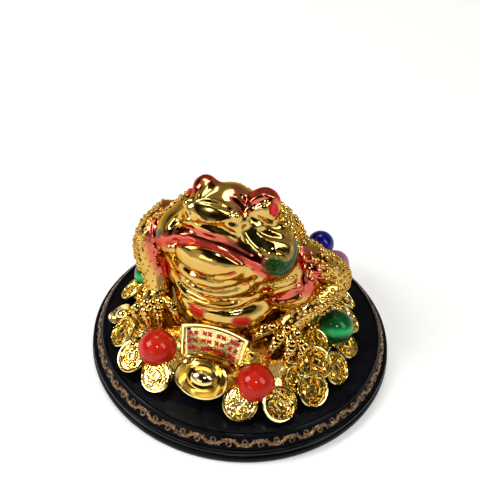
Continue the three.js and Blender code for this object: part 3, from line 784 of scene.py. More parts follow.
plaque = bmesh.new()
bmesh.ops.create_grid(plaque, x_segments=16, y_segments=1, size=1)
for corner in plaque.verts:
    corner.co = on_fan(corner.co.x, corner.co.y)
walls = bmesh.ops.extrude_face_region(plaque, geom=list(plaque.faces))["geom"]
bmesh.ops.translate(plaque, vec=(0, 0, 1), verts=only(walls, bmesh.types.BMVert))
bmesh.ops.recalc_face_normals(plaque, faces=plaque.faces)
front = [f for f in plaque.faces if f.normal.z > 0.9]
back = {v for f in plaque.faces if f.normal.z < -0.9 for v in f.verts}
bmesh.ops.translate(plaque, vec=(0, 0, -PLAQUE_DEPTH), verts=list(back))
for thickness, depth in FRAME_STEPS:
    bmesh.ops.inset_region(plaque, faces=front, thickness=thickness, depth=depth,
                           use_even_offset=True)
for face in front:
    face.material_index = 1
bmesh.ops.transform(plaque, matrix=PLAQUE_POSE, verts=plaque.verts)
board = finished(mesh_of(plaque, "plaque"), "plaque", paler_gold_for_highlights)
board.data.materials.append(stippled_gold)

foot_line = [on_fan(u, LEDGE_LINE, 0.5) for u in np.linspace(-1.06, 1.06, 25)]
ledge = tubes("ledge", [(foot_line, [LEDGE_RADIUS] * len(foot_line), False)], 3)
ledge.transform(PLAQUE_POSE)
finished(ledge, "plaque_ledge", paler_gold_for_highlights)

# %% [markdown]
# The marks stand on the sunk field in red lacquer. They are rows of plain crossed strokes and
# spell nothing. They could be painted on by a mask, but the real ones are raised, so the same
# roof-shaped bars make them as on the coins, only blunter, so that they hold their paint.

# %% Marks on the plaque
# Red lacquer brushed on the raised plate: a thick paint with a soft gloss and 2 mm patches of
# lighter red where it pooled. Its brush waves are 1.2 mm wide and 0.1 mm deep.
red_enamel, add, place = new_material("red_lacquer_brushed_on_plate")
pooled = add("TexNoise", {"Vector": place, "Scale": 1 / 2, "Detail": 3})
share = add("MapRange", (pooled, 0.35, 0.65))
waves = add("TexNoise", {"Vector": place, "Scale": 1 / 1.2, "Detail": 2})
shader = add("BsdfPrincipled", {
    "Base Color": add("Mix", {"Factor": share, "A": "A80C10", "B": "C81C1A"}, data_type="RGBA"),
    "Roughness": 0.3, "Specular IOR Level": 0.3,
    "Normal": add("Bump", {"Height": waves, "Distance": 0.1 * MM})})
add("OutputMaterial", {"Surface": shader})

GROUP_STEP, ROW_STEP, HALF_STEP = 0.43, 0.44, 0.085  # between marks, in shares of half the fan
SLANT, FAN_SLANT = 0.8, 0.3  # radians that a stroke leans to its side, and along with the fan
BLUNT = 0.6  # how wide a stroke's ridge is beside its foot
marks = bmesh.new()
draw = random.Random(7)
for group in range(4):
    u = (group - 1.5) * GROUP_STEP
    for row in range(3):
        for column in (-HALF_STEP, HALF_STEP):
            at = on_fan(u + column + draw.uniform(-0.015, 0.015), ROW_STEP - ROW_STEP * row, 0.1)
            for slant in (-SLANT, SLANT):
                size = (draw.uniform(4.0, 5.0), 1.7, 2.2)
                bar(marks, at, size, slant - FAN_SLANT * u + draw.uniform(-0.25, 0.25), BLUNT)
bmesh.ops.transform(marks, matrix=PLAQUE_POSE, verts=marks.verts)
finished(mesh_of(marks, "marks"), "plaque_marks", red_enamel)

# %% [markdown]
# The six balls are glass: two opaque red ones, two green ones and a blue one with the sheen of a
# cat's eye, and one of a dusty purple. Clear glass with a core would be slow to render, and this
# glass lets hardly any light through. So each is a fine ball with an opaque body, and the sheen is a
# painted sheen: a pale band in its base colour round it, faint on the red ones, that is broken up
# along fine fibres and stays put from every side.

# %% Glass balls
BALLS = {  # diameter, middle and slot
    "ball_red_left": (24, (-31, -61, 33), "red_glass"),
    "ball_red_right": (24, (34.5, -62.5, 29), "red_glass"),
    "ball_green_right": (24, (72, -3, 33), "green_glass"),
    "ball_green_left": (24, (-66, 5, 29), "green_glass"),
    "ball_purple": (20.4, (60, 49, 43), "purple_glass"),
    "ball_blue": (20.4, (45, 68, 43), "blue_glass"),
}
# Each ball's sheen is painted into its base colour as a fixed pale band: a painted sheen.
GLASS = {  # body colour, cloud colour, colour of the sheen, how strong the sheen is
    "red_glass": ("A81408", "C02412", "D84028", 0.10),
    "green_glass": ("042E12", "0A5A26", "2FC06A", 0.75),
    "purple_glass": ("7E3A62", "A6688C", "D8A0C0", 0.35),
    "blue_glass": ("060340", "120C78", "3A38D0", 0.3),
}
PAINTED_SHEEN_TURN = (0.5, 0.25, 0)
PAINTED_SHEEN_STOPS = [(0.3, "000000"), (0.45, "FFFFFF"), (0.5, "FFFFFF"), (0.68, "000000")]


def ball_glass(node, at, slot):
    """Fibre glass, fused and ground round: deep colour, a sharp highlight and a silky band of
    painted sheen.
    """
    body_colour, cloud_colour, sheen, strength = GLASS[slot]
    material, add, place = new_material(f"fibre_{slot}_of_{node}")
    centred = add("Mapping", {"Vector": place, "Location": -(Vector(at) + CASTING_SHIFT)})
    place = add("Mapping", {"Vector": centred, "Rotation": PAINTED_SHEEN_TURN})
    # Clouds of 9 mm are streaks of unmixed glass. The fibres are drawn 1.5 mm wide, to show.
    clouds = add("TexNoise", {"Vector": place, "Scale": 1 / 9, "Detail": 3, "Distortion": 0.6})
    share = add("MapRange", (clouds, 0.35, 0.65))
    colour = add("Mix", {"Factor": share, "A": body_colour, "B": cloud_colour}, data_type="RGBA")
    fibres = add("TexNoise", {"Vector": place, "Scale": 1 / 1.5, "Detail": 2})
    ragged = add("MapRange", (fibres, 0, 1, -0.8, 0.8))
    height = add("Math", (add("SeparateXYZ", (place,), "Z"), ragged), operation="ADD")
    # The band is the painted sheen, a pale stripe across the ball's middle.
    band = add("ValToRGB", (add("MapRange", (height, -10, 10)),), stops=PAINTED_SHEEN_STOPS)
    band = add("Math", (band, strength), operation="MULTIPLY")
    smears = add("TexNoise", {"Vector": place, "Scale": 1 / 4, "Detail": 4})
    ground = add("TexNoise", {"Vector": place, "Scale": 1 / 6, "Detail": 2})
    shader = add("BsdfPrincipled", {
        "Base Color": add("Mix", {"Factor": band, "A": colour, "B": sheen}, data_type="RGBA"),
        "IOR": 1.5, "Specular IOR Level": 0.26,
        "Roughness": add("MapRange", (smears, 0.4, 0.8, 0.03, 0.12)),
        "Normal": add("Bump", {"Height": ground, "Distance": 0.06 * MM})})
    add("OutputMaterial", {"Surface": shader})
    return material


for node, (diameter, at, slot) in BALLS.items():
    shape = bmesh.new()
    bmesh.ops.create_uvsphere(shape, u_segments=64, v_segments=32, radius=diameter / 2)
    bmesh.ops.translate(shape, vec=at, verts=shape.verts)
    finished(mesh_of(shape, node), node + "_glass", ball_glass(node, at, slot), node, slot)

# %% [markdown]
# The toad starts from rounded masses: a fat torso with a soft belly, a low rump, a broad head with
# heavy cheeks and a blunt muzzle, and a throat as wide as the head. Box modelling would give
# more control of the mesh, but a fat body has no flat sides to start from. A remesh with
# squares of 2.2 mm is fine enough to find the skin by, and is quick.

# %% Body and head
ROUGH_SQUARE = 2.2
MASSES = {  # place and half sizes, as shares of the toad's height
    "torso": ((0, 0.1, 0.42), (0.335, 0.36, 0.32)),
    "belly": ((-0.01, -0.108, 0.366), (0.255, 0.215, 0.157)),
    "rump": ((0, 0.36, 0.33), (0.22, 0.17, 0.19)),
    "head": ((-0.01, -0.085, 0.755), (0.29, 0.2, 0.15)),
    "left cheek": ((-0.185, -0.145, 0.71), (0.15, 0.16, 0.12)),
    "right cheek": ((0.165, -0.145, 0.71), (0.15, 0.16, 0.12)),
    "muzzle": ((-0.035, -0.17, 0.86), (0.16, 0.125, 0.1)),
    "forehead": ((-0.01, -0.11, 0.885), (0.11, 0.11, 0.09)),
    "chin": ((-0.035, -0.2, 0.705), (0.175, 0.125, 0.1)),
    "throat": ((0.01, -0.12, 0.56), (0.25, 0.17, 0.16)),
    "left shoulder": ((-0.33, -0.02, 0.59), (0.12, 0.13, 0.13)),
    "right shoulder": ((0.31, 0.05, 0.51), (0.13, 0.14, 0.12)),
    "left flank": ((-0.195, -0.055, 0.45), (0.15, 0.145, 0.17)),
    "right flank": ((0.245, -0.045, 0.46), (0.16, 0.145, 0.14)),
    "left jaw": ((-0.19, -0.1, 0.6), (0.14, 0.15, 0.13)),
    "right jaw": ((0.19, -0.09, 0.59), (0.14, 0.15, 0.13)),
    "left eyelid": ((-0.126, -0.11, 0.918), (0.062, 0.075, 0.079)),
    "right eyelid": ((0.136, -0.11, 0.918), (0.074, 0.08, 0.078)),
}


def lump(clay, at, size, ball=FINE_BALL):
    """A rounded mass, with its place and half sizes in shares of the toad's height."""
    stamp(clay, ball, Matrix.LocRotScale(Vector(at) * TOAD, None, Vector(size) * TOAD))


clay = bmesh.new()
for at, size in MASSES.values():
    lump(clay, at, size)
rough_body = remeshed(clay, ROUGH_SQUARE, 5)
print("rough body:", len(rough_body.polygons), "squares")

# %% [markdown]
# The folds of the face are drawn on the clay. They could be placed by their coordinates, but
# then each would need many tries. Instead each line below is a few points of the picture, and
# a ray from the camera through each point finds its place on the skin. So each fold lies
# where the picture shows it. First comes a smooth path: straight lines between the points would
# leave kinks, and a curve object gives no even steps, so a curve that passes through all its
# points is worked out by its formula, and places are read off it by their length along it.

# %% Paths on the skin


def smooth_path(points, spans=8):
    """Points along a smooth curve that passes through the given ones."""
    given = [np.array(p, float) for p in points]
    given = [2 * given[0] - given[1], *given, 2 * given[-1] - given[-2]]
    path = []
    for a, b, c, d in zip(given, given[1:], given[2:], given[3:]):
        for t in np.arange(spans) / spans:
            path.append(0.5 * (2 * b + (c - a) * t + (2 * a - 5 * b + 4 * c - d) * t**2
                               + (3 * b - a - 3 * c + d) * t**3))
    return np.array([*path, given[-2]])


def along(values, share):
    """The value at a share of the way along a list of values that are evenly spread."""
    return np.interp(share, np.linspace(0, 1, len(values)), values)


def lengths_of(path):
    """How far along a path each of its points is."""
    return np.concatenate([[0], np.cumsum(np.linalg.norm(np.diff(path, axis=0), axis=1))])


def places_at(path, lengths):
    """The places at some lengths along a path."""
    reach = lengths_of(path)
    return np.column_stack([np.interp(lengths, reach, path[:, axis]) for axis in range(3)])


def balls_along(path, radii, step):
    """Places and radii of balls that are set along a path so close that they run together."""
    whole = lengths_of(path)[-1]
    shares = np.linspace(0, 1, max(3, round(whole / (step * np.mean(radii)))))
    return zip(places_at(path, shares * whole), along(radii, shares))


bend = smooth_path([(0, 0, 0), (10, 0, 0), (10, 10, 0)])
print("a path of", len(bend), "points, as long as", round(lengths_of(bend)[-1], 1), "mm")

# %% [markdown]
# A line of sight starts at the camera and runs through a point of the picture. The lens and the
# sensor say how far apart two such lines are. Where a line meets the skin could be found by
# trying every face, but a search tree finds it at once, so a tree is made of each skin. A point
# drawn just beside the toad meets nothing, and goes to the nearest place of its edge.

# %% Lines of sight
TOAD_REACHES = range(330, 530, 8)  # how far from the camera the toad can be


def bmesh_of(mesh):
    """A bmesh of a mesh, to work on."""
    shape = bmesh.new()
    shape.from_mesh(mesh)
    return shape


def sight_tree(skin):
    """A search tree over a skin, which finds where a line of sight meets it."""
    shape = bmesh_of(skin)
    search = BVHTree.FromBMesh(shape)
    shape.free()
    return search


def sight(px, py):
    """The line of sight through a point of the picture: where it starts, and its direction."""
    across, down = ((p - PICTURE / 2) * SENSOR / LENS / PICTURE for p in (px, py))
    return CAMERA_AT - CASTING_SHIFT, (look + right * across - up * down).normalized()


def seen(search, points, spans=6):
    """A smooth path on a skin along points of the picture. A point beside it goes to its edge."""
    places = []
    for px, py in points:
        eye, ray = sight(px, py)
        place = search.ray_cast(eye, ray)[0]
        if place is None:
            tries = [search.find_nearest(eye + ray * reach) for reach in TOAD_REACHES]
            place = min(tries, key=lambda found: found[3])[0]
        places.append(place)
    if len(places) > 3:
        evened = [(a + 2 * b + c) / 4 for a, b, c in zip(places, places[1:], places[2:])]
        places = [places[0], *evened, places[-1]]
    return smooth_path(places, spans)


rough_search = sight_tree(rough_body)
middle = rough_search.ray_cast(*sight(PICTURE / 2, PICTURE / 2))[0]
print("the picture's middle is on the throat, at", [round(v) for v in middle], "mm")

# %% [markdown]
# Rolls and pads of clay are laid on the rough body for what stands out: three rolls round the
# throat, the upper lip, folds of the cheeks, brow ridges, a pad for the chin, and one for the flat
# nose plate. Raising the skin alone would make them soft; clay laid on keeps its round side.
# One finer remesh then joins all of it, with squares of 0.85 mm.

# %% Rolls and pads of the face
THROAT_FOLDS = [
    [(169, 249), (174, 261), (184, 272), (197, 280.5), (212, 284.5), (227, 284), (240, 279.5),
     (252, 273), (262, 267)],
    [(173, 267), (182, 279), (193, 288), (208, 294), (223, 295.5), (238, 292.5), (250, 287),
     (260, 280)],
    [(178, 284), (188, 294), (201, 301.5), (216, 305.5), (231, 305.5), (245, 302), (257, 297)],
]
UPPER_LIP = [(157, 240.5), (168, 237), (181, 234.5), (196, 234), (210, 238.5), (224, 244.5),
             (238, 251.5), (250, 258.5), (262, 265), (273, 271)]
CHEEK_FOLDS = [
    [(244.8, 216), (253.2, 219), (259.2, 227), (266.4, 232.5), (276, 235.5), (284.4, 234.5)],
    [(242.4, 219.6), (247.2, 225.6), (254.4, 235.2), (264, 241.5), (274.8, 243), (285.6, 241.8),
     (290.4, 247.2)],
    [(240, 223.2), (242.4, 232.8), (248.4, 241.2), (255.6, 248), (264, 252), (274.8, 252.5),
     (282, 254), (286.8, 260)],
    [(229, 236), (238, 243), (247, 250), (257, 256.5), (267, 259.5), (277, 260.5)],
    [(190, 207), (182, 212), (175, 219), (168, 228)],
    [(193, 215), (187, 222), (179, 227), (170, 231)],
]
BROW_RIDGES = [
    [(235, 197), (241, 202), (245, 208)],
    [(245, 212), (249, 203), (257, 196.5), (267, 194.5), (276, 198)],
    [(197, 203), (200, 195), (206, 187), (212, 181)],
]
ROLLS = [  # lines, the radii along them, and how far they are sunk
    (THROAT_FOLDS, [3.2, 4.8, 5.6, 5.8, 5.6, 4.8, 3.2], 0.5),
    ([UPPER_LIP], [3, 4.2, 4.8, 4.8, 4.6, 4.2, 3], 0.35),
    (CHEEK_FOLDS, [1.4, 2.4, 2.6, 2.4, 1.4], 0.3),
    (BROW_RIDGES, [1.6, 2.4, 2.4, 1.6], 0.2),
]
PADS = [  # middle, half sizes, turn, how far it is sunk, how much it faces the eye
    ((208, 260), (22.5, 13.5, 11), -0.25, 0.45, 0),  # chin
    ((210.5, 213), (14.5, 8.4, 5), -0.22, 0.3, 1),  # nose plate
    ((188, 203.5), (3.6, 3.6, 3.6), 0, 0.1, 0),  # a nostril's knob on each side
    ((236.5, 216.5), (3.2, 3.2, 3.2), 0, 0.1, 0),
]
BODY_SQUARE = 0.85
ROLL_STEP = 0.3  # between the balls of a roll, beside their radius


def clay_roll(clay, search, line, radii, sink):
    """Lays a roll of clay on a skin along points of the picture, sunk by a share of its radius."""
    for at, radius in balls_along(seen(search, line), radii, ROLL_STEP):
        at = Vector(at) - search.find_nearest(at)[1] * radius * sink
        stamp(clay, COARSE_BALL, Matrix.LocRotScale(at, None, (radius,) * 3))


def pad(clay, search, centre, size, turn, sink, toward):
    """Lays a flat oval pad on a skin. It faces as the skin does, or by a share towards the eye."""
    eye, ray = sight(*centre)
    at, normal = search.ray_cast(eye, ray)[:2]
    normal = (normal * (1 - toward) - ray * toward).normalized()
    side = right * math.cos(turn) + up * math.sin(turn)
    side = (side - normal * side.dot(normal)).normalized()
    pose = Matrix((side, normal.cross(side), normal)).transposed()
    at = at - normal * size[2] * sink
    stamp(clay, FINE_BALL, Matrix.LocRotScale(at, pose, size))


clay = bmesh_of(rough_body)
for lines, radii, sink in ROLLS:
    for line in lines:
        clay_roll(clay, rough_search, line, radii, sink)
for centre, size, turn, sink, toward in PADS:
    pad(clay, rough_search, centre, size, turn, sink, toward)
body = remeshed(clay, BODY_SQUARE, 4)
print("body skin:", len(body.polygons), "squares")

# %% [markdown]
# What lies deeper is pressed in: the mouth, the lines round the chin and the nose plate, and the
# creases of throat, cheeks and brow. A displacement texture could do it, but would need an
# unwrapped skin. Here each corner of the mesh near a path moves along its own normal, most
# in the middle of the stroke. This needs the corners' distance from the path, which
# numpy finds for all of them at once.

# %% Strokes of the thumb


def triples(items, what):
    """Three numbers of each item of a mesh, such as a corner's place, as an array."""
    numbers = np.empty(len(items) * 3, np.float32)
    items.foreach_get(what, numbers)
    return numbers.reshape(-1, 3)


def near_path(corners, path):
    """How far each corner is from a path, and how far along the path its nearest point is."""
    distance = np.full(len(corners), np.inf)
    share = np.zeros(len(corners))
    reach = lengths_of(path)
    for i, (a, b) in enumerate(zip(path, path[1:])):
        span = b - a
        t = np.clip((corners - a) @ span / max(span @ span, 1e-9), 0, 1)
        apart = np.linalg.norm(corners - a - t[:, None] * span, axis=1)
        closer = apart < distance
        distance[closer] = apart[closer]
        share[closer] = (reach[i] + t[closer] * (reach[i + 1] - reach[i])) / reach[-1]
    return distance, share


def beside(mesh, path, reach):
    """The numbers of the corners that lie near a path, with their distance and share along it."""
    corners = triples(mesh.vertices, "co")
    low, high = path.min(0) - reach, path.max(0) + reach
    chosen = np.nonzero(np.all((corners > low) & (corners < high), axis=1))[0]
    distance, share = near_path(corners[chosen], path)
    close = distance < reach
    return chosen[close], distance[close], share[close]


def shift_corners(mesh, chosen, moves):
    """Moves the chosen corners of a mesh."""
    corners = triples(mesh.vertices, "co")
    corners[chosen] += moves
    mesh.vertices.foreach_set("co", corners.ravel())
    mesh.update()


def stroke(mesh, path, reach, rise, normals, taper=(0, 1, 1, 1, 0)):
    """Raises the skin along a path, or presses it in where the rise is below zero."""
    chosen, distance, share = beside(mesh, path, reach)
    profile = (1 - (distance / reach) ** 2) ** 2
    shift_corners(mesh, chosen, normals[chosen] * (rise * profile * along(taper, share))[:, None])


print("corners of the body that a stroke can move:", len(body.vertices))

# %% [markdown]
# The creases are the lines that make the face: the mouth is the deepest and widest, the edges of
# lip, chin and nose plate are thinner, and the finest ones fold the cheeks and the brow. They
# could be cut with a thin tool all to one depth, as a scribe does, but a thumb's stroke fades at
# both ends. So each has its own width and depth in millimetres, and the taper of `stroke`.

# %% Creases of the face
MOUTH = [(155, 244), (166, 243.5), (178, 241.5), (192, 240.5), (207, 244), (224, 250), (237, 257),
         (250, 264.5), (261, 271), (272, 279)]
LIP_EDGE = [(160, 233), (169, 229), (180, 226), (195, 225), (209, 229), (223, 236), (238, 243.5),
            (249, 250.5), (261, 257.5), (272, 263)]
CHIN_EDGE = [(175, 252), (179, 262), (188, 270.5), (197, 275.5), (207, 278), (217, 278.5),
             (227, 277), (235, 273.5), (242, 267)]
THROAT_CREASES = [
    [(173, 264), (180, 275), (190, 283.5), (203, 289), (217, 290.5), (232, 289), (245, 284.5),
     (257, 277)],
    [(177, 280), (187, 290), (198, 297), (211, 300.5), (225, 301), (239, 299), (251, 294)],
    [(183, 297), (194, 304.5), (206, 309), (219, 311.5), (232, 311.5), (246, 308), (256, 303)],
]
NOSE_EDGE = [(190, 208), (193, 217), (201, 225), (212, 228), (222, 226.5), (230, 222.5),
             (237, 220)]
NOSE_TOP = [(196, 201.5), (206, 200.5), (216, 203), (226, 207.5), (233, 211.5)]
NOSE_RIM = [(192, 206), (195, 215), (202, 222), (212, 224.5), (221, 223), (228, 219.5),
            (235, 216.5)]
SMALL_CREASES = [
    [(250, 213), (257, 218), (265, 224), (274, 228.5), (284, 229)],
    [(191, 211), (185, 217), (177, 223), (169, 229)],
    [(250, 209), (257, 203), (265, 200), (272, 200.5)],
    [(238, 196), (245, 200), (248, 205)],
]
EYES = [[(274.5, 206.5), (274.5, 214)], [(190, 188.5), (189.5, 194)]]

CREASES = [  # lines, half width and rise
    ([LIP_EDGE], 2.6, -1.3),
    ([MOUTH], 3.2, -2.4),
    ([CHIN_EDGE], 2.8, -2.4),
    ([NOSE_EDGE], 2.6, -1.6),
    ([NOSE_TOP], 2.4, -1.2),
    (THROAT_CREASES, 2.8, -2.0),
    (SMALL_CREASES, 2.6, -1.6),
    ([NOSE_RIM], 1.8, 0.5),
]
EYE_REACH, EYE_DEPTH = 6, 1.2  # the sockets, which keep their depth to both ends

body_search = sight_tree(body)
body_normals = triples(body.vertex_normals, "vector")
for lines, reach, rise in CREASES:
    for line in lines:
        stroke(body, seen(body_search, line), reach, rise, body_normals)
for eye in EYES:
    stroke(body, seen(body_search, eye), EYE_REACH, -EYE_DEPTH, body_normals, taper=(1, 1))
print("creases:", sum(len(lines) for lines, _, _ in CREASES))

# %% [markdown]
# On both cheeks run broad troughs, and in the mirror of the plate they are nearly black, because
# their floors face the dark side of the room, where the photographer stands. Painting them
# dark would look wrong from any other side. So their floors are pressed flat and turned to
# the camera, and the mirror does the rest. A few rounds of smoothing then take out the
# marks of the tools, most on the lip and on the throat.

# %% Hollows of the cheeks
HOLLOWS = [  # line, half width and depth
    ([(182, 216.5), (190, 221), (198, 225.5), (206, 228), (214, 229.5), (222, 231.5), (230, 236),
      (237, 241.5)], 4.6, 1.0),
    ([(236, 241), (243, 246.5), (250, 252), (258, 256), (266, 258)], 2.6, 0.8),
    ([(246, 222), (249, 230), (254, 238), (261, 245), (269, 250), (278, 252)], 5.0, 1.6),
    ([(259, 228), (266, 233), (274, 236), (283, 236.5)], 3.2, 1.2),
    ([(248, 216), (253, 219), (260, 223), (267, 227)], 2.6, 1.0),
    ([(172, 237), (184, 235.5), (196, 236), (210, 240.5), (224, 246.5), (238, 253.5), (250, 260.5),
      (262, 267)], 3.8, 0.3),
]
SOFT_ROUNDS, LIP_ROUNDS, LIP_REACH, FOLD_ROUNDS, FOLD_REACH = 3, 8, 4.8, 4, 5
FLATNESS, FLOOR_EDGE = 0.5, 0.45  # how far a floor is turned to the camera, and its edge's width


def hollow(mesh, path, reach, depth):
    """Presses a flat-floored hollow along a path, whose floor is half turned to the camera."""
    chosen, distance, share = beside(mesh, path, reach)
    inward = np.array(look)
    floor_depth = path @ inward
    floor_depth = floor_depth + FLATNESS * (floor_depth.mean() - floor_depth) + depth
    edge = np.clip((1 - distance / reach) / FLOOR_EDGE, 0, 1)
    weight = edge * edge * (3 - 2 * edge) * np.clip(8 * share * (1 - share), 0, 1)
    gap = along(floor_depth, share) - triples(mesh.vertices, "co")[chosen] @ inward
    shift_corners(mesh, chosen, inward * (weight * gap)[:, None])


def softened(mesh, rounds, path=None, reach=0.0):
    """Smooths a mesh by a few light rounds, all over or near a path."""
    shape = bmesh_of(mesh)
    shape.verts.ensure_lookup_table()
    wet = shape.verts[:]
    if path is not None:
        wet = [shape.verts[i] for i in beside(mesh, path, reach)[0]]
    for _ in range(rounds):
        bmesh.ops.smooth_vert(shape, verts=wet, factor=0.5,
                              use_axis_x=True, use_axis_y=True, use_axis_z=True)
    shape.to_mesh(mesh)
    shape.free()


for line, reach, depth in HOLLOWS:
    hollow(body, seen(body_search, line), reach, depth)
softened(body, SOFT_ROUNDS)
softened(body, LIP_ROUNDS, seen(body_search, UPPER_LIP), LIP_REACH)
for fold in THROAT_FOLDS:
    softened(body, FOLD_ROUNDS, seen(body_search, fold), FOLD_REACH)
print("hollows:", len(HOLLOWS))

# %% [markdown]
# The arms bend like a bulldog's: down from the shoulder on the left, and out and forward on the
# right. Each is a roll of clay that thins towards the wrist, and the toes are thinner rolls.
# A subdivided tube with a skin modifier would do for the arms, but not for wrists where three
# toes meet, so it is clay again, with squares of 0.65 mm. Where the picture shows the claws, a
# line of sight and a height give each claw's place.

# %% Arms and feet
ARMS = [  # places and radii, as shares of the toad's height
    ([(-0.335, 0.0, 0.63), (-0.385, -0.075, 0.58), (-0.393, -0.105, 0.49),
      (-0.362, -0.125, 0.405), (-0.33, -0.165, 0.325)],
     [0.105, 0.096, 0.087, 0.074, 0.06]),
    ([(0.25, 0.02, 0.55), (0.35, 0.03, 0.54), (0.445, 0.085, 0.475), (0.455, 0.07, 0.425),
      (0.41, -0.025, 0.395), (0.36, -0.1, 0.365), (0.315, -0.155, 0.33)],
     [0.1, 0.098, 0.086, 0.08, 0.076, 0.072, 0.058]),
]
WRISTS = {"left": (-0.325, -0.19, 0.315), "right": (0.31, -0.165, 0.32), "hind": (0, 0.46, 0.27)}
PALM = (0.07, 0.065, 0.045)  # half sizes of the lump at each wrist
ARCH, ARCH_LIFT = 0.45, Vector((0, 0, 0.012))  # the middle of a toe: how far out, and how much up
TOE_RADII, HIND_TOE_RADII = [0.032, 0.03, 0.023], [0.03, 0.034, 0.026, 0.03, 0.018, 0.006]
HIND_TOES = (-0.13, 0, 0.13)  # how far each is to the side of the middle
ARM_SQUARE, ARM_STEP = 0.65, 0.1  # the balls of an arm lie closer than those of a toe
CLAWS = {  # for each claw: its start and end in the picture, and both heights in millimetres
    "left": [((136, 313), (141, 324), 38, 30), ((146, 315), (150, 327), 40, 32),
             ((159, 312), (160.5, 328), 41.5, 32.5), ((174, 310), (178.5, 323.5), 43, 35)],
    "right": [((263, 332), (252.5, 341), 43, 38), ((275.5, 344), (267, 357.5), 41.5, 34),
              ((289.5, 351), (281.5, 366), 39, 30), ((302.5, 350), (296, 364), 37, 30)],
}


def at_height(px, py, z):
    """Where a line of sight is at a height in millimetres, in shares of the toad's height."""
    eye, ray = sight(px, py)
    return (eye + ray * ((z - eye.z) / ray.z)) / TOAD


def roll(clay, points, radii, step):
    """A roll of clay along a smooth path, in shares of the toad's height."""
    for at, radius in balls_along(smooth_path(points, 12), radii, step):
        lump(clay, at, (radius,) * 3, COARSE_BALL)


clay = bmesh.new()
for points, radii in ARMS:
    roll(clay, points, radii, ARM_STEP)
for wrist in WRISTS.values():
    lump(clay, wrist, PALM)
claw_ends = [(foot, at_height(*start, high), at_height(*end, low))
             for foot, claws in CLAWS.items() for start, end, high, low in claws]
for foot, knuckle, _ in claw_ends:
    arched = knuckle * ARCH + Vector(WRISTS[foot]) * (1 - ARCH) + ARCH_LIFT
    roll(clay, [WRISTS[foot], arched, knuckle], TOE_RADII, ROLL_STEP)
for x in HIND_TOES:
    toe = [WRISTS["hind"], (0.8 * x, 0.52, 0.25), (x, 0.57, 0.235), (x, 0.595, 0.21)]
    roll(clay, toe, HIND_TOE_RADII, ROLL_STEP)
arms = remeshed(clay, ARM_SQUARE, 3)
print("arms skin:", len(arms.polygons), "squares")

# %% [markdown]
# On the shoulders and on the insides of the arms the skin hangs in small ridges, like a cloth over a
# bent elbow. Rolls of clay would be too coarse for them, so they are raised by strokes, on the arms
# and where they run on over the body. A rim also frames the rose panel under the right cheek, and
# the knob behind that cheek is one short, high stroke; its pale green is a painted reflection of the
# green lacquer on the jaw beside it.

# %% Ridges of shoulders and arms
SHOULDER_RIDGES = [
    [(298.5, 262), (299.5, 271), (300, 280), (301, 290)],
    [(303.5, 267), (304, 275), (304.5, 283), (307, 289)],
    [(313, 268), (308, 272), (307.5, 278), (310.5, 283), (316, 283)],
    [(311, 266), (320, 264.5), (329, 266.5), (337, 271)],
    [(312, 271), (321, 271.5), (332, 275)],
    [(316, 277), (325, 277), (334, 280)],
    [(300, 256), (309, 259), (318, 259)],
]
INNER_RIDGES = [
    [(164, 214), (160, 222), (158, 231), (158, 240)],
    [(159, 213), (155, 222), (153, 232), (153, 241)],
    [(168, 216), (165, 224), (163, 230)],
    [(152, 244), (157, 250), (161, 257)],
    [(156, 241), (161, 247), (165, 254)],
]
PANEL_RIM = [(299, 286), (286, 288), (273, 291), (269, 296), (271, 302.5), (285, 301), (300, 297)]
CHEEK_KNOB = [(304, 243), (304.5, 243)]
RIDGE_REACH, RIDGE_RISE = 2.5, 1.2

arms_search = sight_tree(arms)
arms_normals = triples(arms.vertex_normals, "vector")
for line in SHOULDER_RIDGES + INNER_RIDGES:
    stroke(arms, seen(arms_search, line), RIDGE_REACH, RIDGE_RISE, arms_normals)
for line in SHOULDER_RIDGES:
    stroke(body, seen(body_search, line), RIDGE_REACH, RIDGE_RISE, body_normals)
for line, reach, rise in ((PANEL_RIM, 2.0, RIDGE_RISE), (CHEEK_KNOB, 5.5, 3.0)):
    stroke(body, seen(body_search, line), reach, rise, body_normals, taper=(1, 1))
print("ridges:", len(SHOULDER_RIDGES) + len(INNER_RIDGES))

# %% [markdown]
# The maker brushed lacquer on the finished plate: rose on the lips, the eyelids and the folds of the
# arms, green on the corners of the jaw, and red dots on the belly. Two strokes are painted light
# instead: a darker red line along the mouth is painted shade, and the pale green on the knob behind
# the right cheek is a painted reflection of the green jaw. Vertex paint by hand can't be written
# down, so the brush is a function: it lays a mask on the skin along a line of the picture, full in
# the middle and soft at its edge. The masks are attributes of the corners, which the gold material
# reads.

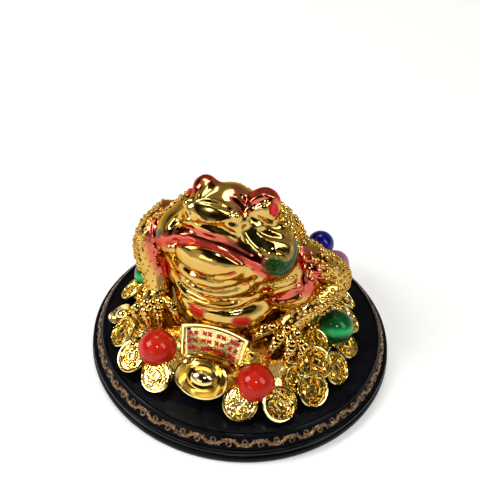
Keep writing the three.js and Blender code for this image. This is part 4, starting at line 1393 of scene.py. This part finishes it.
# %% Lacquer brushed on the skin
ARM_PITS = {"left": [(166, 213), (160, 220), (156, 231), (156, 243), (161, 255), (167, 266)],
            "right": [(300, 256), (308, 262), (312, 272), (308, 284)]}
BODY_BRUSHES = [  # lacquer, line, half width and strength
    ("rose", UPPER_LIP, 6.0, 0.95),
    ("rose", MOUTH[1:], 4, 0.9),
    ("rose", [(194, 186), (197, 177), (204, 173), (211, 178)], 7, 0.9),
    ("rose", [(250, 199), (256, 191), (265, 189.5), (274, 194)], 8.5, 0.9),
    ("rose", [(236, 188), (242, 193), (247, 198)], 3.5, 0.7),
    ("rose", BROW_RIDGES[0], 5.5, 0.8),
    ("rose", [(157, 247), (162, 256), (167, 267)], 7, 0.9),
    ("green", [(298, 245), (297.5, 254), (295, 263), (288, 269), (280, 270), (273, 266)], 7.5, 1.0),
    # Painted reflection: pale green on the knob behind the right cheek, standing for the green jaw
    # mirrored in its gold.
    ("green", [(303, 243), (305, 243)], 5, 0.5),
    ("green", [(153, 237), (159, 233)], 3.5, 0.9),
    ("red", [(193, 309.5), (199.5, 313.5)], 4.6, 1.0),
    ("red", [(237, 322), (245.5, 321.5)], 4.6, 1.0),
    # Painted shade: a darker red line along the mouth's crease, where the underside of the lip is in
    # shadow.
    ("red", MOUTH[1:-1], 2.4, 0.6),
    ("red", CHIN_EDGE[3:8], 1.5, 0.9),
    ("red", THROAT_CREASES[0][1:-1], 1.3, 0.7),
    ("red", THROAT_CREASES[1][1:-1], 1.3, 0.7),
    ("rose", ARM_PITS["right"], 11, 0.95),
    ("rose", [(274, 296), (285, 295), (297, 291)], 7, 0.9),
]
ARM_BRUSHES = [("rose", ARM_PITS["left"], 11, 0.95), ("rose", ARM_PITS["right"], 11, 0.95)]


def brush(mesh, mask, path, reach, strength=1.0, taper=(1, 1)):
    """Brushes a mask on the skin along a path, softly towards its edge."""
    if mask not in mesh.attributes:
        mesh.attributes.new(mask, "FLOAT", "POINT")
    layer = mesh.attributes[mask].data
    values = np.zeros(len(layer), np.float32)
    layer.foreach_get("value", values)
    chosen, distance, share = beside(mesh, path, reach)
    cover = np.clip(2.2 * (1 - distance / reach), 0, 1) * strength * along(taper, share)
    values[chosen] = np.maximum(values[chosen], cover)
    layer.foreach_set("value", values)


for skin, search, brushes in ((body, body_search, BODY_BRUSHES), (arms, arms_search, ARM_BRUSHES)):
    for mask, line, reach, strength in brushes:
        brush(skin, mask, seen(search, line), reach, strength)
    print("brushed:", sorted(a.name for a in skin.attributes if a.name in ("rose", "red", "green")))

# %% [markdown]
# Each toe ends in a claw like a drop with a red tip, and over the knuckles sit flat beads whose
# middles mirror the dark of the room. A cone would be too plain for a claw: here a ball is drawn
# out from the knuckle to the tip, narrowed and arched. The beads are the same ball, pressed
# flat and turned to the camera.

# %% Claws and knuckles
CLAW_RADIUS, CLAW_ARCH, KNUCKLE_RADIUS, FLAT = 3.2, 1.6, 2.9, 0.5
BROAD, TAPER = 1.15, 0.75  # a claw's width at the knuckle, and how much of it is lost at the tip
RED_SHARE, RED_REACH = 0.25, 2.6  # how much of a claw's end is red, and how wide the brush is
CLAW_BALL = template("claw_ball", bmesh.ops.create_uvsphere, u_segments=20, v_segments=14, radius=1)
KNUCKLES = [
    (146.5, 303), (152.5, 303), (160.5, 302), (146.5, 311.5), (137, 307), (171, 304), (157, 309),
    (272, 327), (280.5, 337), (291.5, 343), (300.5, 342.5), (297, 334), (287, 329),
]


def button(shape, at, radius):
    """A knuckle: a flattened bead that faces the camera."""
    facing = (-look).to_track_quat("Z", "Y")
    stamp(shape, CLAW_BALL, Matrix.LocRotScale(at, facing, (radius, radius, radius * FLAT)))


def claw(shape, start, end, thick):
    """A claw like a drop, from its knuckle to its tip, with a bead where it starts."""
    start, end = Vector(start) * TOAD, Vector(end) * TOAD
    length = (end - start).length
    before = len(shape.verts)
    lengthwise = (end - start).to_track_quat("Z", "Y")
    size = (thick, thick, length / 2 + thick * 0.3)
    stamp(shape, CLAW_BALL, Matrix.LocRotScale((start + end) / 2, lengthwise, size))
    shape.verts.ensure_lookup_table()
    axis = (end - start).normalized()
    for corner in shape.verts[before:]:
        down = (corner.co - start).dot(axis)
        share = min(max(down / length, 0), 1)
        arched = start + axis * down + Vector((0, 0, CLAW_ARCH)) * math.sin(math.pi * share)
        corner.co = arched + (corner.co - start - axis * down) * (BROAD - TAPER * share)
    button(shape, start - axis * thick * 0.5 + Vector((0, 0, 1.2)), thick * 1.1)


nails = bmesh.new()
for _, knuckle, tip in claw_ends:
    claw(nails, knuckle, tip, CLAW_RADIUS)
for x in HIND_TOES:
    claw(nails, (x * 0.97, 0.545, 0.245), (x, 0.6, 0.2), CLAW_RADIUS)
for knuckle in KNUCKLES:
    button(nails, Vector(seen(arms_search, [knuckle, knuckle])[0]) - look * 0.6, KNUCKLE_RADIUS)
nails = mesh_of(nails, "claws")
for _, knuckle, tip in claw_ends:
    red_end = np.array([knuckle * RED_SHARE + tip * (1 - RED_SHARE), tip]) * TOAD
    brush(nails, "red", red_end, RED_REACH, taper=(0.3, 1.2))
finished(nails, "toad_claws", gold_plate)

# %% [markdown]
# The toad's warts are small round beads that stand half out of the skin. They run in rows along
# the outsides of the arms and lie in thick clusters behind the eyes and over the back. Bumps in
# the material would not break the outline, so each wart is a ball. It is a coarse one of
# few faces, shaded smooth, because there are hundreds of them. The rows are drawn by line,
# and the clusters by a seeded draw that keeps the warts apart.

# %% Warts
BEAD = template("bead", bmesh.ops.create_uvsphere, u_segments=8, v_segments=6, radius=1)
ROW_WART, ROW_SPACING = 1.75, 3.5  # radius of the warts in a row, and the steps between them
WART_ROWS = [
    (arms_search, [(171, 210), (160, 208.5), (151, 211.5), (144, 219), (140, 230), (138, 242),
                   (137, 253), (140, 263)]),
    (arms_search, [(165, 213), (156, 214), (149, 220), (145, 230), (143, 242), (142, 254)]),
    (arms_search, [(321, 250), (330, 248), (338, 253), (345, 259), (350, 266), (354, 273),
                   (357, 281)]),
    (arms_search, [(322, 255), (331, 253), (338, 258), (344, 265), (348, 273), (350, 282)]),
    (body_search, [(265, 285), (275, 282), (286, 279), (297, 276)]),
    (arms_search, [(352, 288), (340, 292), (327, 297), (314, 302), (301, 307), (290, 312)]),
    (arms_search, [(350, 296), (338, 299), (325, 304), (312, 309), (300, 314)]),
]
WART_FIELDS = [  # skin, where on it (c: place, n: normal), spacing, tries, seed and radius
    (body, lambda c, n: (c[1] > -2) & (n[2] > -0.2) & (c[2] > 40), 4.2, 2500, 5, 1.6),
    (body, lambda c, n: (abs(c[0]) > 26) & (abs(c[1] + 1) < 13) & (c[2] > 96) & (c[2] < 117),
     3.5, 1500, 9, 1.75),
    (arms, lambda c, n: (n[0] * np.sign(c[0]) > 0.6) & (c[2] > 50), 3.5, 1500, 6, 1.55),
    (arms, lambda c, n: (c[0] < -40) & (n[1] < -0.3) & (c[2] > 44) & (c[2] < 82),
     3.3, 900, 12, 0.8),
    (arms, lambda c, n: (c[0] > 44) & (n[2] > 0.2) & (c[1] < 0) & (c[2] > 46), 3.5, 900, 13, 1.6),
]


def scattered(skin, wanted, spacing, tries, seed):
    """Places on the skin, drawn at random but no nearer each other than a spacing."""
    corners = triples(skin.vertices, "co")
    usable = np.nonzero(wanted(corners.T, triples(skin.vertex_normals, "vector").T))[0]
    draw = np.random.default_rng(seed)
    left = corners[draw.choice(usable, min(tries, len(usable)), replace=False)]
    chosen = []
    while len(left):
        chosen.append(left[0])
        left = left[np.linalg.norm(left - left[0], axis=1) > spacing]
    return chosen


places = []
for search, line in WART_ROWS:
    path = seen(search, line, 12)
    steps = np.arange(0, lengths_of(path)[-1], ROW_SPACING)
    places += [(at, ROW_WART) for at in places_at(path, steps)]
for skin, wanted, spacing, tries, seed, radius in WART_FIELDS:
    places += [(at, radius) for at in scattered(skin, wanted, spacing, tries, seed)]
warts = bmesh.new()
for at, radius in places:
    stamp(warts, BEAD, Matrix.LocRotScale(Vector(at), None, (radius,) * 3))
print("warts:", len(places))
finished(mesh_of(warts, "warts"), "toad_warts", gold_plate)

# %% [markdown]
# The eyes are long red beads under the lids. They could be spots of lacquer like the dots on the
# belly, but they bulge, so each is a ball drawn out along its own line of the picture and half
# sunk in the skin. The real ones are painted with the red lacquer of the marks.

# %% Eyes
EYE_SIZES = ((2.6, 2.6, 4.1), (2.0, 2.0, 3.0))  # half sizes in millimetres
eyes = bmesh.new()
for line, size in zip(EYES, EYE_SIZES):
    path = seen(body_search, line)
    middle = Vector(path[len(path) // 2])
    lengthwise = Vector(path[-1] - path[0]).to_track_quat("Z", "Y")
    ball = bmesh.ops.create_uvsphere(eyes, u_segments=24, v_segments=16, radius=1)["verts"]
    bmesh.ops.transform(eyes, matrix=Matrix.LocRotScale(middle, lengthwise, size), verts=ball)
finished(mesh_of(eyes, "eyes"), "toad_eyes", red_enamel)
finished(body, "toad_body", gold_plate)
finished(arms, "toad_arms", gold_plate)

# %% [markdown]
# At the end the view layer is brought up to date. The skin has to stay inside the solids' box.

# %% Finish
bpy.context.view_layer.update()
